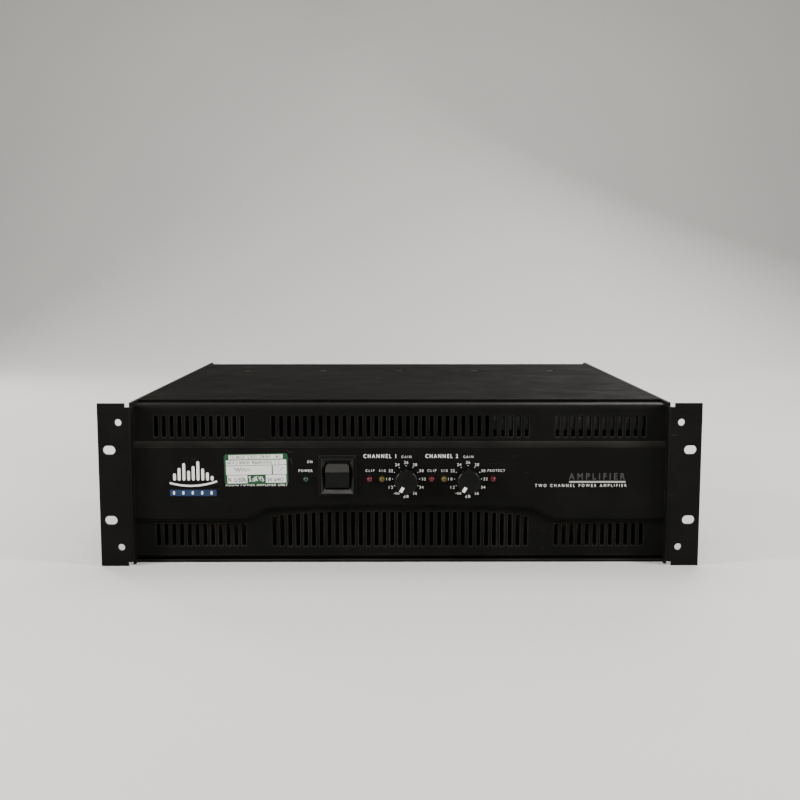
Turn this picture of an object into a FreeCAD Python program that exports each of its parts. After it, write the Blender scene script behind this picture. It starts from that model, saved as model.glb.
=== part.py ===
"""Three-unit rack power amplifier, 19 inch, two channels.

Millimetres.  X runs across the front, Y runs from front to rear, Z is up.  The origin is the
centre of the four rack slots, on the rear faces of the rack ears, which bolt to the rack rails.
"""
import FreeCAD, Part
import math
import os

os.makedirs("parts", exist_ok=True)
V = FreeCAD.Vector

# ---------------------------------------------------------------- driving dimensions
# Rack panel and chassis sheets
RACK_WIDTH = 482.6            # 19 inch panel width over the ears
EAR_HEIGHT = 132.5            # three rack units, less the gap between neighbours
SLOT_PITCH_X = 465.1          # rack slots, EIA-310
SLOT_PITCH_Z = 57.15
SLOT_LENGTH = 10.0
SLOT_RADIUS = 3.5
HANDLE_PITCH_X = 449.6        # screw holes for two front handles
HANDLE_PITCH_Z = 101.6
HANDLE_RADIUS = 2.75
REAR_SUPPORT_Y = 390.0        # holes for rear rack supports
REAR_SUPPORT_PITCH = 101.6
REAR_SUPPORT_RADIUS = 3.5
SHEET = 2.0                   # steel sheet of the chassis
FLANGE = 14.0                 # height of the turned-up edges of the sheet parts
LIP_Y = (45.0, 368.0)         # length of the side edges of the lid and the base
BODY_HALF = 217.0             # half the width over the side panels
REAR_EAR_END = 401.5          # rear tips of the side panels
REAR_PANEL_Y = 376.0          # inner face of the rear panel
BASE_FRONT = 9.5
SIDE_SCREW_Y = (60.0, 160.0, 260.0, 350.0)
SIDE_SCREW_Z = 57.0
CSK_HEAD = 3.9                # countersunk side screws
CSK_SHANK = 2.0
CSK_DEPTH = 1.9
REAR_SCREW_X = (-190.0, -70.0, 70.0, 190.0)
COVER_FRONT = 28.3
COVER_SCREW_X = (-161.0, -80.5, 0.0, 80.5, 161.0)
COVER_SCREW_Y = 295.0
DIMPLE_RADIUS = 7.0           # dished screw seats in the lid
DIMPLE_DEPTH = 1.3
BRACE_THICK = 3.0
BRACE_HALF_Y = 12.0

# Front panel
BAND_Y = 9.0                  # front plane of the upper and lower vent bands
MID_Y = 5.0                   # front plane of the proud middle band
FASCIA_WALL = 3.0
FASCIA_RETURN = 28.0          # the top and bottom edges of the fascia run back to here
CORNER = 4.0
BOTTOM_BEVEL = 60.0
LEDGE_TOP = 33.9              # the sloping ledge above the middle band
LEDGE_BOTTOM = 29.8
SIDE_EDGE_Z = -31.0           # lower edge of the middle band, at the sides and at the centre
CENTRE_EDGE_Z = -18.9
ARCH_END = (105.0, -21.6)
SHOULDER_START = 128.0
ROLL_RADIUS = 3.6
SIDE_SLOTS = 12
SIDE_SLOT_X = (127.5, 197.2)
CENTRE_SLOTS = 33
CENTRE_SLOT_X = 102.5
SLOT_FRONT = 1.85             # half-widths of a vent slot at the fascia's front and back
SLOT_BACK = 1.05
UPPER_SLOT_Z = (36.8, 55.2)
SIDE_SLOT_Z = (-52.6, -33.9)
CENTRE_SLOT_BOTTOM = -53.0
BOSS_X = (-208.0, -115.0, 115.0, 208.0)
BOSS_Z = (-58.0, 58.0)
SUBPANEL_Y = 14.0             # front face of the steel panel behind the fascia

# Controls and lamps
CONTROL_Z = 3.7               # height of the line of knobs and lamps
LED_RADIUS = 2.5
POWER_LED_X = -76.0
CLIP_LED_X = (-24.6, 25.4)
SIGNAL_LED_X = (-14.5, 35.6)
PROTECT_LED_X = 75.2
KNOB_X = (4.9, 54.9)
KNOB_RADIUS = 9.5
KNOB_LENGTH = 14.0
FLUTES = 24
POINTER_HALF_W = 1.25
POINTER_REACH = (4.9, 9.2)    # distances of the bar's ends from the knob's axis
POINTER_ANGLE = -150.0        # from the top of the scale, clockwise positive
SHAFT_RADIUS = 3.0
BUSH_RADIUS = 4.5
POT_BODY = 8.5
NUT_HALF = 5.5
RUNNING_GAP = 0.05            # radial clearance of a shaft in its bush
BOARD_Y = 29.0
BOARD_THICK = 1.6

# Power switch: the rocker turns about an X axis; at rest it is off, its lower end pressed in
SWITCH_X = -50.6
SWITCH_Z = 6.3
SWITCH_HOLE = (13.0, 15.5)    # half-width and half-height of the switch's cut-out
BEZEL_HALF = (15.0, 16.75)    # half-sizes of the bezel against the fascia
RIDGE_OUTER = (12.95, 14.25)  # and of the ridge at its front, outside and inside
RIDGE_INNER = (12.65, 13.95)
BEZEL_PROUD = 2.6
WINDOW_HALF = (10.1, 10.6)    # opening at the foot of the bezel's inner slope
WINDOW_Y = 4.45
WELL_RADIUS = 14.1            # the round-bottomed well the rocker turns in
ROCKER_HALF_W = 9.75
ROCKER_PIVOT_Y = 13.7
ROCKER_PIN = 1.2
ROCKER_FACE = (6.55, 13.0)    # edge of the dished face: height and distance before the pivot
ROCKER_END = (11.8, 7.0)      # outer edge of the sloping end face, measured the same way
ROCKER_REAR = 4.0
ROCKER_CORNER = 3.0
ROCKER_EASE = 0.6
ROCKER_DISH = 1.0
ROCKER_SWING = 12.0           # each way from the middle position

# Power supply, heat sinks and fan
TOROID_PLACES = ((-143.0, 112.0), (143.0, 112.0))
TOROID_OUTER = 66.0
TOROID_INNER = 20.0
TOROID_HEIGHT = 75.0
PAD_THICK = 3.0
CAPACITOR_PLACES = ((112.0, 206.0), (112.0, 244.0), (150.0, 206.0), (150.0, 244.0))
CAPACITOR_RADIUS = 17.5
SUPPLY_BOARD_Z = -56.6
TUNNEL_HALF = 60.0            # half the width of the air tunnel between the heat sinks
SINK_Y = (62.0, 334.0)
SINK_HALF_H = 59.0
SINK_PLATE = 7.0
FIN_COUNT = 15
FAN_SIZE = 119.0
FAN_DEPTH = 38.0
FAN_HOLE = 52.5
DUCT_RADIUS = 56.5
HUB_RADIUS = 21.0
MOTOR_DEPTH = 7.0
SPINDLE_RADIUS = 2.0
BLADES = 7
GUARD_RINGS = (14.0, 24.5, 35.0, 45.5, 56.0)
GUARD_WIRE = 1.0
GUARD_EYE = 2.5

# Rear connectors
XLR_PLACES = ((118.0, 27.0), (118.0, -27.0))
JACK_PLACES = ((164.0, 27.0), (164.0, -27.0))
SPEAKER_PLACES = ((-92.0, 28.0), (-92.0, -28.0))
POST_X = (-128.0, -147.0)
POST_Z = (28.0, -28.0)
INLET = (-188.0, -30.0)
BREAKER = (-188.0, 30.0)
MODE_SWITCH = (190.0, 0.0)
MODE_STEP = 2.5
FLANGE_HALF = (13.0, 15.5)    # half-width and half-height of the socket flanges
FLANGE_SCREW = (9.5, 12.0)
BARREL_RADIUS = 11.8
JACK_BUSH = 5.5
JACK_BORE = 3.25
INLET_HOLE = (14.5, 11.5)
INLET_PINS = ((-7.0, -3.4), (0.0, 3.6), (7.0, -3.4))
BREAKER_NECK = 5.9
BUTTON_RADIUS = 3.5
POST_STUD = 2.5
CAP_LENGTH = 13.0

# Worked out from the above
HALF_H = EAR_HEIGHT / 2
INNER_HALF = BODY_HALF - SHEET
COVER_TOP = HALF_H - 0.25
COVER_UNDER = COVER_TOP - SHEET
BASE_TOP = -HALF_H + SHEET
PANEL_BACK = REAR_PANEL_Y + SHEET
SUBPANEL_BACK = SUBPANEL_Y + SHEET
FASCIA_HALF = INNER_HALF - 0.2
FASCIA_TOP = COVER_UNDER - 0.2
FASCIA_BOSS = [(x, z) for x in BOSS_X for z in BOSS_Z]
KNOB_BACK = MID_Y - 0.4
KNOB_FRONT = KNOB_BACK - KNOB_LENGTH
TOROID_Z = (BASE_TOP + PAD_THICK, BASE_TOP + PAD_THICK + TOROID_HEIGHT)
FAN_Y0 = REAR_PANEL_Y - FAN_DEPTH
CAP_BACK = PANEL_BACK + 3.0


# ---------------------------------------------------------------- solids
def box(x0, x1, y0, y1, z0, z1):
    return Part.makeBox(x1 - x0, y1 - y0, z1 - z0, V(x0, y0, z0))


def rod_x(y, z, radius, x0, x1):
    return Part.makeCylinder(radius, x1 - x0, V(x0, y, z), V(1, 0, 0))


def rod_y(x, z, radius, y0, y1):
    return Part.makeCylinder(radius, y1 - y0, V(x, y0, z), V(0, 1, 0))


def rod_z(x, y, radius, z0, z1):
    return Part.makeCylinder(radius, z1 - z0, V(x, y, z0), V(0, 0, 1))


def cone_y(x, z, r0, r1, y0, y1):
    return Part.makeCone(r0, r1, y1 - y0, V(x, y0, z), V(0, 1, 0))


def cone_z(x, y, r0, r1, z0, z1):
    return Part.makeCone(r0, r1, z1 - z0, V(x, y, z0), V(0, 0, 1))


def extrude(edges, direction):
    return Part.Face(Part.Wire(edges)).extrude(direction)


def polygon(points):
    return Part.makePolygon(points + [points[0]]).Edges


def line(a, b):
    return Part.LineSegment(a, b).toShape()


def arc(a, b, c):
    return Part.Arc(a, b, c).toShape()


def turned(points, centre):
    """A solid of revolution about the Y axis through centre; points are (radius, y)."""
    ring = [V(centre.x + r, y, centre.z) for r, y in points]
    return Part.Face(Part.makePolygon(ring + [ring[0]])).revolve(centre, V(0, 1, 0), 360)


def ring_y(x, z, outer, inner, y0, y1):
    return rod_y(x, z, outer, y0, y1).cut(rod_y(x, z, inner, y0, y1))


def fuse(solids):
    return solids[0].multiFuse(solids[1:]).removeSplitter()


def cut(solid, tools):
    return solid.cut(Part.makeCompound(tools))


def mirrored(shape):
    return shape.mirror(V(0, 0, 0), V(1, 0, 0))


def save(name, *solids):
    shape = solids[0] if len(solids) == 1 else Part.makeCompound(list(solids))
    shape.exportStep("parts/" + name + ".step")


def both(values):
    return [sign * value for sign in (-1, 1) for value in values]


# ---------------------------------------------------------------- screws
def pan_screw_y(x, z, seat, radius=3.5, shank=2.0, length=7.0):
    """A cross-recess pan-head screw driven forwards into a face at y = seat."""
    head = turned([(0, seat), (radius, seat), (radius, seat + 1.4), (radius - 1.2, seat + 2.2),
                   (0, seat + 2.2)], V(x, 0, z))
    recess = [box(x - 1.8, x + 1.8, seat + 1.0, seat + 3, z - 0.45, z + 0.45),
              box(x - 0.45, x + 0.45, seat + 1.0, seat + 3, z - 1.8, z + 1.8)]
    return cut(fuse([head, rod_y(x, z, shank, seat - length, seat)]), recess)


def csk_screw_x(sign, y, z):
    """A countersunk screw through a side panel, its head flush with the outer face."""
    outer = BODY_HALF
    cone = Part.makeCone(CSK_SHANK, CSK_HEAD, CSK_DEPTH, V(outer - CSK_DEPTH, y, z), V(1, 0, 0))
    screw = cone.fuse(rod_x(y, z, CSK_SHANK, outer - 8, outer - CSK_DEPTH))
    recess = [box(outer - 1.3, outer + 1, y - 1.9, y + 1.9, z - 0.4, z + 0.4),
              box(outer - 1.3, outer + 1, y - 0.4, y + 0.4, z - 1.9, z + 1.9)]
    screw = cut(screw, recess)
    return screw if sign > 0 else mirrored(screw)


def side_screw_places():
    return [(y, z) for y in SIDE_SCREW_Y for z in both([SIDE_SCREW_Z])]


# ---------------------------------------------------------------- chassis sheets


def side_panel():
    """The right-hand side wall: one sheet, with the rack ear bent outwards at its front."""
    ear, wall, inner = RACK_WIDTH / 2, BODY_HALF, INNER_HALF
    bend_out, bend_in = 3.0, 1.0
    s = math.sqrt(0.5)
    front, z0 = -SHEET, -HALF_H
    cx, cy = wall + bend_in, bend_in
    edges = [line(V(ear, front, z0), V(cx, front, z0)),
             arc(V(cx, front, z0), V(cx - bend_out * s, cy - bend_out * s, z0), V(inner, cy, z0)),
             line(V(inner, cy, z0), V(inner, REAR_EAR_END, z0)),
             line(V(inner, REAR_EAR_END, z0), V(wall, REAR_EAR_END, z0)),
             line(V(wall, REAR_EAR_END, z0), V(wall, cy, z0)),
             arc(V(wall, cy, z0), V(cx - bend_in * s, cy - bend_in * s, z0), V(cx, 0, z0)),
             line(V(cx, 0, z0), V(ear, 0, z0)),
             line(V(ear, 0, z0), V(ear, front, z0))]
    panel = extrude(edges, V(0, 0, EAR_HEIGHT))
    tools = []
    for z in both([SLOT_PITCH_Z / 2]):
        x, reach = SLOT_PITCH_X / 2, SLOT_LENGTH / 2 - SLOT_RADIUS
        tools += [rod_y(x - reach, z, SLOT_RADIUS, -5, 5), rod_y(x + reach, z, SLOT_RADIUS, -5, 5),
                  box(x - reach, x + reach, -5, 5, z - SLOT_RADIUS, z + SLOT_RADIUS)]
    for z in both([HANDLE_PITCH_Z / 2]):
        tools.append(rod_y(HANDLE_PITCH_X / 2, z, HANDLE_RADIUS, -5, 5))
    for z in both([REAR_SUPPORT_PITCH / 2]):
        tools.append(rod_x(REAR_SUPPORT_Y, z, REAR_SUPPORT_RADIUS, inner - 5, wall + 5))
    notch = 3.2
    for z0, z1 in ((HALF_H - notch, HALF_H + 1), (-HALF_H - 1, -HALF_H + notch)):
        tools.append(box(inner - 1, wall + 2.5, -5, 3.5, z0, z1))
    for y, z in side_screw_places():
        tools += [Part.makeCone(CSK_SHANK, CSK_HEAD, CSK_DEPTH, V(wall - CSK_DEPTH, y, z), V(1, 0, 0)),
                  rod_x(y, z, CSK_SHANK, inner - 1, wall)]
    panel = cut(panel, tools)
    corner = 6.0
    tips = [e for e in panel.Edges if abs(e.CenterOfMass.y - REAR_EAR_END) < 0.01
            and abs(abs(e.CenterOfMass.z) - HALF_H) < 0.01]
    return panel.makeFillet(corner, tips)


def side_screw_holes(x0, x1, z_sign):
    return [rod_x(y, z_sign * SIDE_SCREW_Z, CSK_SHANK, x0, x1) for y in SIDE_SCREW_Y]


def top_cover():
    """The lid: a flat sheet with a turned-down edge at each side and five dished screw seats."""
    lid = box(-INNER_HALF, INNER_HALF, COVER_FRONT, PANEL_BACK, COVER_UNDER, COVER_TOP)
    lips = [box(x0, x0 + SHEET, LIP_Y[0], LIP_Y[1], COVER_UNDER - FLANGE, COVER_UNDER + 0.5)
            for x0 in (-INNER_HALF, INNER_HALF - SHEET)]
    tools = side_screw_holes(-INNER_HALF - 1, INNER_HALF + 1, 1)
    for x in COVER_SCREW_X:
        tools += [cone_z(x, COVER_SCREW_Y, DIMPLE_RADIUS - 2, DIMPLE_RADIUS, COVER_TOP - DIMPLE_DEPTH,
                         COVER_TOP),
                  rod_z(x, COVER_SCREW_Y, 2.1, COVER_UNDER - 1, COVER_TOP)]
    return cut(fuse([lid] + lips), tools)


def cover_screw(x):
    """A pan-head screw whose head lies in a dished seat of the top cover."""
    seat = COVER_TOP - DIMPLE_DEPTH
    head = rod_z(x, COVER_SCREW_Y, 3.9, seat, seat + 1.0)
    dome = cone_z(x, COVER_SCREW_Y, 3.9, 2.6, seat + 1.0, seat + 1.25)
    shank = rod_z(x, COVER_SCREW_Y, 2.0, seat - 7, seat)
    recess = [box(x - 1.9, x + 1.9, COVER_SCREW_Y - 0.45, COVER_SCREW_Y + 0.45, seat + 0.3, seat + 2),
              box(x - 0.45, x + 0.45, COVER_SCREW_Y - 1.9, COVER_SCREW_Y + 1.9, seat + 0.3, seat + 2)]
    return cut(fuse([head, dome, shank]), recess)


def cover_brace():
    """The cross bar under the lid that its five screws go into."""
    top = COVER_UNDER
    bar = box(-INNER_HALF + SHEET, INNER_HALF - SHEET, COVER_SCREW_Y - BRACE_HALF_Y,
              COVER_SCREW_Y + BRACE_HALF_Y, top - BRACE_THICK, top)
    return cut(bar, [rod_z(x, COVER_SCREW_Y, 2.0, top - 5, top + 1) for x in COVER_SCREW_X])


def base_plate():
    """The floor of the case, with turned-up edges at the sides and the rear."""
    floor = box(-INNER_HALF, INNER_HALF, BASE_FRONT, PANEL_BACK, -HALF_H, BASE_TOP)
    top = BASE_TOP + FLANGE
    lips = [box(x0, x0 + SHEET, LIP_Y[0], LIP_Y[1], BASE_TOP - 0.5, top)
            for x0 in (-INNER_HALF, INNER_HALF - SHEET)]
    lips += [box(x0, x1, REAR_PANEL_Y - SHEET, REAR_PANEL_Y, BASE_TOP - 0.5, top)
             for x0, x1 in ((-200, -62), (62, 200))]
    tools = side_screw_holes(-INNER_HALF - 1, INNER_HALF + 1, -1)
    tools += [rod_y(x, BASE_TOP + FLANGE / 2, 2.0, REAR_PANEL_Y - 5, PANEL_BACK) for x in REAR_SCREW_X]
    tools += [rod_z(x, y, 4.0, -HALF_H - 1, BASE_TOP) for x, y in TOROID_PLACES]
    return cut(fuse([floor] + lips), tools)


# ---------------------------------------------------------------- front panel


def spaced(first, last, count):
    return [first + (last - first) * i / (count - 1) for i in range(count)]


def side_slot_places():
    return both(spaced(SIDE_SLOT_X[0], SIDE_SLOT_X[1], SIDE_SLOTS))


def centre_slot_places():
    return spaced(-CENTRE_SLOT_X, CENTRE_SLOT_X, CENTRE_SLOTS)


def centre_slot_top(x):
    """The tops of the lower centre slots are level in the middle and fall towards the ends."""
    level_half, level_z, fall = 56.0, -24.2, 3.8
    beyond = max(0.0, abs(x) - level_half) / (CENTRE_SLOT_X - level_half)
    return level_z - fall * beyond ** 2


def slot_outline(x, z0, z1, half, y, rounded):
    if not rounded:
        return Part.Wire(polygon([V(x - half, y, z0), V(x + half, y, z0), V(x + half, y, z1),
                                  V(x - half, y, z1)]))
    low, high = z0 + half, z1 - half
    return Part.Wire([line(V(x - half, y, high), V(x - half, y, low)),
                      arc(V(x - half, y, low), V(x, y, z0), V(x + half, y, low)),
                      line(V(x + half, y, low), V(x + half, y, high)),
                      arc(V(x + half, y, high), V(x, y, z1), V(x - half, y, high))])


def vent_cutter(x, z0, z1, rounded):
    """A vent slot's cutter: it narrows towards the back of the fascia wall."""
    slope = (SLOT_FRONT - SLOT_BACK) / FASCIA_WALL
    past = 0.5
    front, back = BAND_Y - past, BAND_Y + FASCIA_WALL + past
    grow, shrink = slope * past, slope * (FASCIA_WALL + past)
    wires = [slot_outline(x, z0 - grow, z1 + grow, SLOT_FRONT + grow, front, rounded),
             slot_outline(x, z0 + shrink, z1 - shrink, SLOT_FRONT - shrink, back, rounded)]
    return Part.makeLoft(wires, True, True)


def fascia_shell():
    """The constant section: top return, vent band plane, bevelled foot and bottom return."""
    x = -FASCIA_HALF
    y0, y1, yr = BAND_Y, BAND_Y + FASCIA_WALL, FASCIA_RETURN
    top, low = FASCIA_TOP, -FASCIA_TOP
    wall = 2.5
    s = CORNER * (1 - math.sqrt(0.5))
    edges = [line(V(x, yr, top), V(x, y0 + CORNER, top)),
             arc(V(x, y0 + CORNER, top), V(x, y0 + s, top - s), V(x, y0, top - CORNER)),
             line(V(x, y0, top - CORNER), V(x, y0, -BOTTOM_BEVEL)),
             line(V(x, y0, -BOTTOM_BEVEL), V(x, y0 + CORNER, low)),
             line(V(x, y0 + CORNER, low), V(x, yr, low)),
             line(V(x, yr, low), V(x, yr, low + wall)),
             line(V(x, yr, low + wall), V(x, y1 + 1.5, low + wall)),
             line(V(x, y1 + 1.5, low + wall), V(x, y1, low + wall + 1.5)),
             line(V(x, y1, low + wall + 1.5), V(x, y1, top - wall - 1.5)),
             line(V(x, y1, top - wall - 1.5), V(x, y1 + 1.5, top - wall)),
             line(V(x, y1 + 1.5, top - wall), V(x, yr, top - wall)),
             line(V(x, yr, top - wall), V(x, yr, top))]
    return extrude(edges, V(2 * FASCIA_HALF, 0, 0))


def middle_band():
    """The proud band: a sloping ledge on top and a softly rolled, arched lower edge."""
    y0, y1 = MID_Y, BAND_Y + 0.5
    xs, xa, za = SHOULDER_START, ARCH_END[0], ARCH_END[1]
    end, side = FASCIA_HALF, SIDE_EDGE_Z

    def shoulder(sign):
        poles = [V(sign * xs, y0, side), V(sign * (xs - 10), y0, side), V(sign * (xa + 9), y0, za - 0.4),
                 V(sign * xa, y0, za)]
        curve = Part.BezierCurve()
        curve.setPoles(poles if sign < 0 else poles[::-1])
        return curve.toShape()

    lower = [line(V(-end, y0, side), V(-xs, y0, side)), shoulder(-1),
             arc(V(-xa, y0, za), V(0, y0, CENTRE_EDGE_Z), V(xa, y0, za)), shoulder(1),
             line(V(xs, y0, side), V(end, y0, side))]
    rest = [line(V(end, y0, side), V(end, y0, LEDGE_TOP)),
            line(V(end, y0, LEDGE_TOP), V(-end, y0, LEDGE_TOP)),
            line(V(-end, y0, LEDGE_TOP), V(-end, y0, side))]
    band = extrude(lower + rest, V(0, y1 - y0, 0))
    front_low = [e for e in band.Edges if abs(e.CenterOfMass.y - y0) < 0.01 and e.CenterOfMass.z < -15
                 and abs(e.CenterOfMass.x) < end - 1]
    band = band.makeFillet(ROLL_RADIUS, front_low)
    x = -end - 1
    ledge = [V(x, y0, LEDGE_BOTTOM), V(x, BAND_Y, LEDGE_TOP), V(x, BAND_Y + 1, LEDGE_TOP + 1),
             V(x, y0 - 1, LEDGE_TOP + 1), V(x, y0 - 1, LEDGE_BOTTOM)]
    return band.cut(extrude(polygon(ledge), V(-2 * x, 0, 0)))


def switch_cutout(y0, y1):
    w, h = SWITCH_HOLE
    return box(SWITCH_X - w, SWITCH_X + w, y0, y1, SWITCH_Z - h, SWITCH_Z + h)


def led_places():
    return (POWER_LED_X, PROTECT_LED_X) + CLIP_LED_X + SIGNAL_LED_X


def front_fascia():
    shell = fuse([fascia_shell(), middle_band()])
    hollow = box(-205, 205, MID_Y + FASCIA_WALL, BAND_Y + FASCIA_WALL + 1, -13.5, 26.5)
    vents = [vent_cutter(x, UPPER_SLOT_Z[0], UPPER_SLOT_Z[1], True)
             for x in side_slot_places() + centre_slot_places()]
    vents += [vent_cutter(x, SIDE_SLOT_Z[0], SIDE_SLOT_Z[1], False) for x in side_slot_places()]
    vents += [vent_cutter(x, CENTRE_SLOT_BOTTOM, centre_slot_top(x), False) for x in centre_slot_places()]
    holes = [switch_cutout(MID_Y - 1, MID_Y + 5)]
    holes += [rod_y(x, CONTROL_Z, 4.0, MID_Y - 1, MID_Y + 5) for x in KNOB_X]
    holes += [rod_y(x, CONTROL_Z, LED_RADIUS + 0.1, MID_Y - 1, MID_Y + 5) for x in led_places()]
    body = cut(shell, [hollow] + holes + vents)
    bosses = [rod_y(x, z, 3.2, BAND_Y + FASCIA_WALL - 0.5, SUBPANEL_Y) for x, z in FASCIA_BOSS]
    body = fuse([body] + bosses)
    return cut(body, [rod_y(x, z, 1.5, BAND_Y + 2, SUBPANEL_Y + 1) for x, z in FASCIA_BOSS])


def fascia_screw(x, z):
    """A screw driven forwards through the subpanel into a boss of the fascia."""
    head = rod_y(x, z, 2.8, SUBPANEL_BACK, SUBPANEL_BACK + 2)
    return head.fuse(rod_y(x, z, 1.5, BAND_Y + 3.5, SUBPANEL_BACK))


def front_subpanel():
    """The steel panel behind the fascia that carries the switch and the gain controls."""
    plate = box(-INNER_HALF, INNER_HALF, SUBPANEL_Y, SUBPANEL_BACK, -61, 61)
    lips = [box(x0, x0 + SHEET, SUBPANEL_Y, 40, -48, 48) for x0 in (-INNER_HALF, INNER_HALF - SHEET)]
    windows = [box(x0, x1, SUBPANEL_Y - 1, 17, z0, z1)
               for x0, x1 in ((-203, -121), (-108, 108), (121, 203)) for z0, z1 in ((33, 54), (-54, -27))]
    holes = [switch_cutout(SUBPANEL_Y - 1, 17)]
    holes += [rod_y(x, CONTROL_Z, 4.6, SUBPANEL_Y - 1, 17) for x in KNOB_X]
    holes += [rod_y(x, CONTROL_Z, 3.2, SUBPANEL_Y - 1, 17) for x in led_places()]
    holes += [rod_y(x, z, 1.5, SUBPANEL_Y - 1, 17) for x, z in FASCIA_BOSS]
    return cut(fuse([plate] + lips), windows + holes)


# ---------------------------------------------------------------- controls
def led(x):
    """A 5 mm lamp: domed lens, collar and two leads running back to the control board."""
    z = CONTROL_Z
    tip = MID_Y - 2.9
    centre = tip + LED_RADIUS
    lens = rod_y(x, z, LED_RADIUS, centre, MID_Y + 6).fuse(Part.makeSphere(LED_RADIUS, V(x, centre, z)))
    collar = rod_y(x, z, 2.95, MID_Y + 6, MID_Y + 7)
    leads = [box(x + dx - 0.3, x + dx + 0.3, MID_Y + 7, BOARD_Y, z - 0.3, z + 0.3) for dx in (-1.27, 1.27)]
    return fuse([lens, collar] + leads)


def control_board():
    """The upright circuit board that holds the lamps and the gain controls."""
    board = box(-88, 88, BOARD_Y, BOARD_Y + BOARD_THICK, -12, 34)
    w, h = SWITCH_HOLE
    gap = 1.0
    board = board.cut(box(SWITCH_X - w - gap, SWITCH_X + w + gap, BOARD_Y - 1, BOARD_Y + 3, -13,
                          SWITCH_Z + h + gap))
    chips = [box(x, x + 10, BOARD_Y + BOARD_THICK, BOARD_Y + 5, z, z + 7)
             for x in (-20, 12, 44) for z in (-6, 14)]
    plug = box(70, 84, BOARD_Y + BOARD_THICK, BOARD_Y + 12, 18, 30)
    return fuse([board, plug] + chips)


def gain_pot(x):
    """A gain potentiometer: can, threaded bush and three tags; its bore takes the shaft."""
    z = CONTROL_Z
    body = rod_y(x, z, POT_BODY, SUBPANEL_BACK, 27)
    bush = rod_y(x, z, BUSH_RADIUS, MID_Y + 4, SUBPANEL_BACK)
    tags = [box(x + dx - 0.6, x + dx + 0.6, 27, BOARD_Y, z - 6, z - 5.2) for dx in (-4, 0, 4)]
    bore = rod_y(x, z, SHAFT_RADIUS + RUNNING_GAP, MID_Y + 3, 22)
    return cut(fuse([body, bush] + tags), [bore])


def hexagon_y(x, z, half, y0, y1):
    points = [V(x + half / math.cos(math.pi / 6) * math.cos(math.radians(60 * i)), y0,
                z + half / math.cos(math.pi / 6) * math.sin(math.radians(60 * i))) for i in range(6)]
    return extrude(polygon(points), V(0, y1 - y0, 0))


def pot_nut(x):
    nut = hexagon_y(x, CONTROL_Z, NUT_HALF, SUBPANEL_Y - 2.5, SUBPANEL_Y)
    return nut.cut(rod_y(x, CONTROL_Z, BUSH_RADIUS, SUBPANEL_Y - 4, SUBPANEL_Y + 1))


def gain_shaft(x):
    """The turning spindle, with the flat that keys the knob to it."""
    shaft = rod_y(x, CONTROL_Z, SHAFT_RADIUS, KNOB_FRONT + 3, 21.5)
    flat = box(x - 4, x + 4, KNOB_FRONT + 2, KNOB_BACK - 1, CONTROL_Z + 1.5, CONTROL_Z + 4)
    return shaft.cut(flat)


def gain_knob(x):
    """A fluted knob with a flat face and a moulded pointer bar, set fully anticlockwise."""
    z = CONTROL_Z
    r = KNOB_RADIUS
    rim = 1.0
    body = turned([(0, KNOB_FRONT), (r - rim, KNOB_FRONT), (r, KNOB_FRONT + rim), (r - 0.3, KNOB_BACK),
                   (0, KNOB_BACK)], V(x, 0, z))
    flutes = []
    for i in range(FLUTES):
        a = math.radians(360 * (i + 0.5) / FLUTES)
        flutes.append(rod_y(x + (r + 0.3) * math.cos(a), z + (r + 0.3) * math.sin(a), 0.95,
                            KNOB_FRONT + 1.2, KNOB_BACK + 1))
    return cut(body, flutes + [gain_shaft(x), knob_pointer(x)])


def knob_pointer(x):
    """The pointer bar let into the face of the knob, near its rim."""
    w = POINTER_HALF_W
    z0, z1 = CONTROL_Z + POINTER_REACH[0], CONTROL_Z + POINTER_REACH[1]
    bar = box(x - w, x + w, KNOB_FRONT - 0.1, KNOB_FRONT + 1.0, z0, z1)
    bar.rotate(V(x, 0, CONTROL_Z), V(0, 1, 0), POINTER_ANGLE)
    return bar


def power_rocker():
    """A rocker with a dished face between two sloping end faces, its lower end pressed in."""
    x0, x1 = SWITCH_X - ROCKER_HALF_W, SWITCH_X + ROCKER_HALF_W
    y, z = ROCKER_PIVOT_Y, SWITCH_Z
    face_z, face_y = ROCKER_FACE
    end_z, end_y = ROCKER_END

    def at(forward, up):
        return V(x0, y - forward, z + up)

    edges = [arc(at(face_y, face_z), at(face_y - ROCKER_DISH, 0), at(face_y, -face_z)),
             line(at(face_y, -face_z), at(end_y, -end_z)),
             line(at(end_y, -end_z), at(-ROCKER_REAR, -end_z)),
             line(at(-ROCKER_REAR, -end_z), at(-ROCKER_REAR, end_z)),
             line(at(-ROCKER_REAR, end_z), at(end_y, end_z)),
             line(at(end_y, end_z), at(face_y, face_z))]
    body = extrude(edges, V(x1 - x0, 0, 0))
    outline = box(x0, x1, y - face_y - 1, y + ROCKER_REAR, z - end_z, z + end_z)
    corners = [e for e in outline.Edges if abs(e.Length - face_y - 1 - ROCKER_REAR) < 0.01]
    body = body.common(outline.makeFillet(ROCKER_CORNER, corners)).removeSplitter().Solids[0]
    rim = [e for e in body.Edges if e.BoundBox.YMax < y - end_y + 0.05]
    body = body.makeFillet(ROCKER_EASE, rim)
    rocker = fuse([body, rod_x(y, z, ROCKER_PIN, x0 - 1.6, x1 + 1.6)])
    rocker.rotate(V(SWITCH_X, y, z), V(1, 0, 0), ROCKER_SWING)
    return rocker


def frustum_y(half_0, y0, half_1, y1):
    """A tapered block about the switch's centre, between a rectangle at y0 and one at y1."""
    wires = [Part.Wire(polygon([V(SWITCH_X + sx * w, y, SWITCH_Z + sz * h)
                                for sx, sz in ((-1, -1), (1, -1), (1, 1), (-1, 1))]))
             for (w, h), y in ((half_0, y0), (half_1, y1))]
    return Part.makeLoft(wires, True, True)


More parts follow.
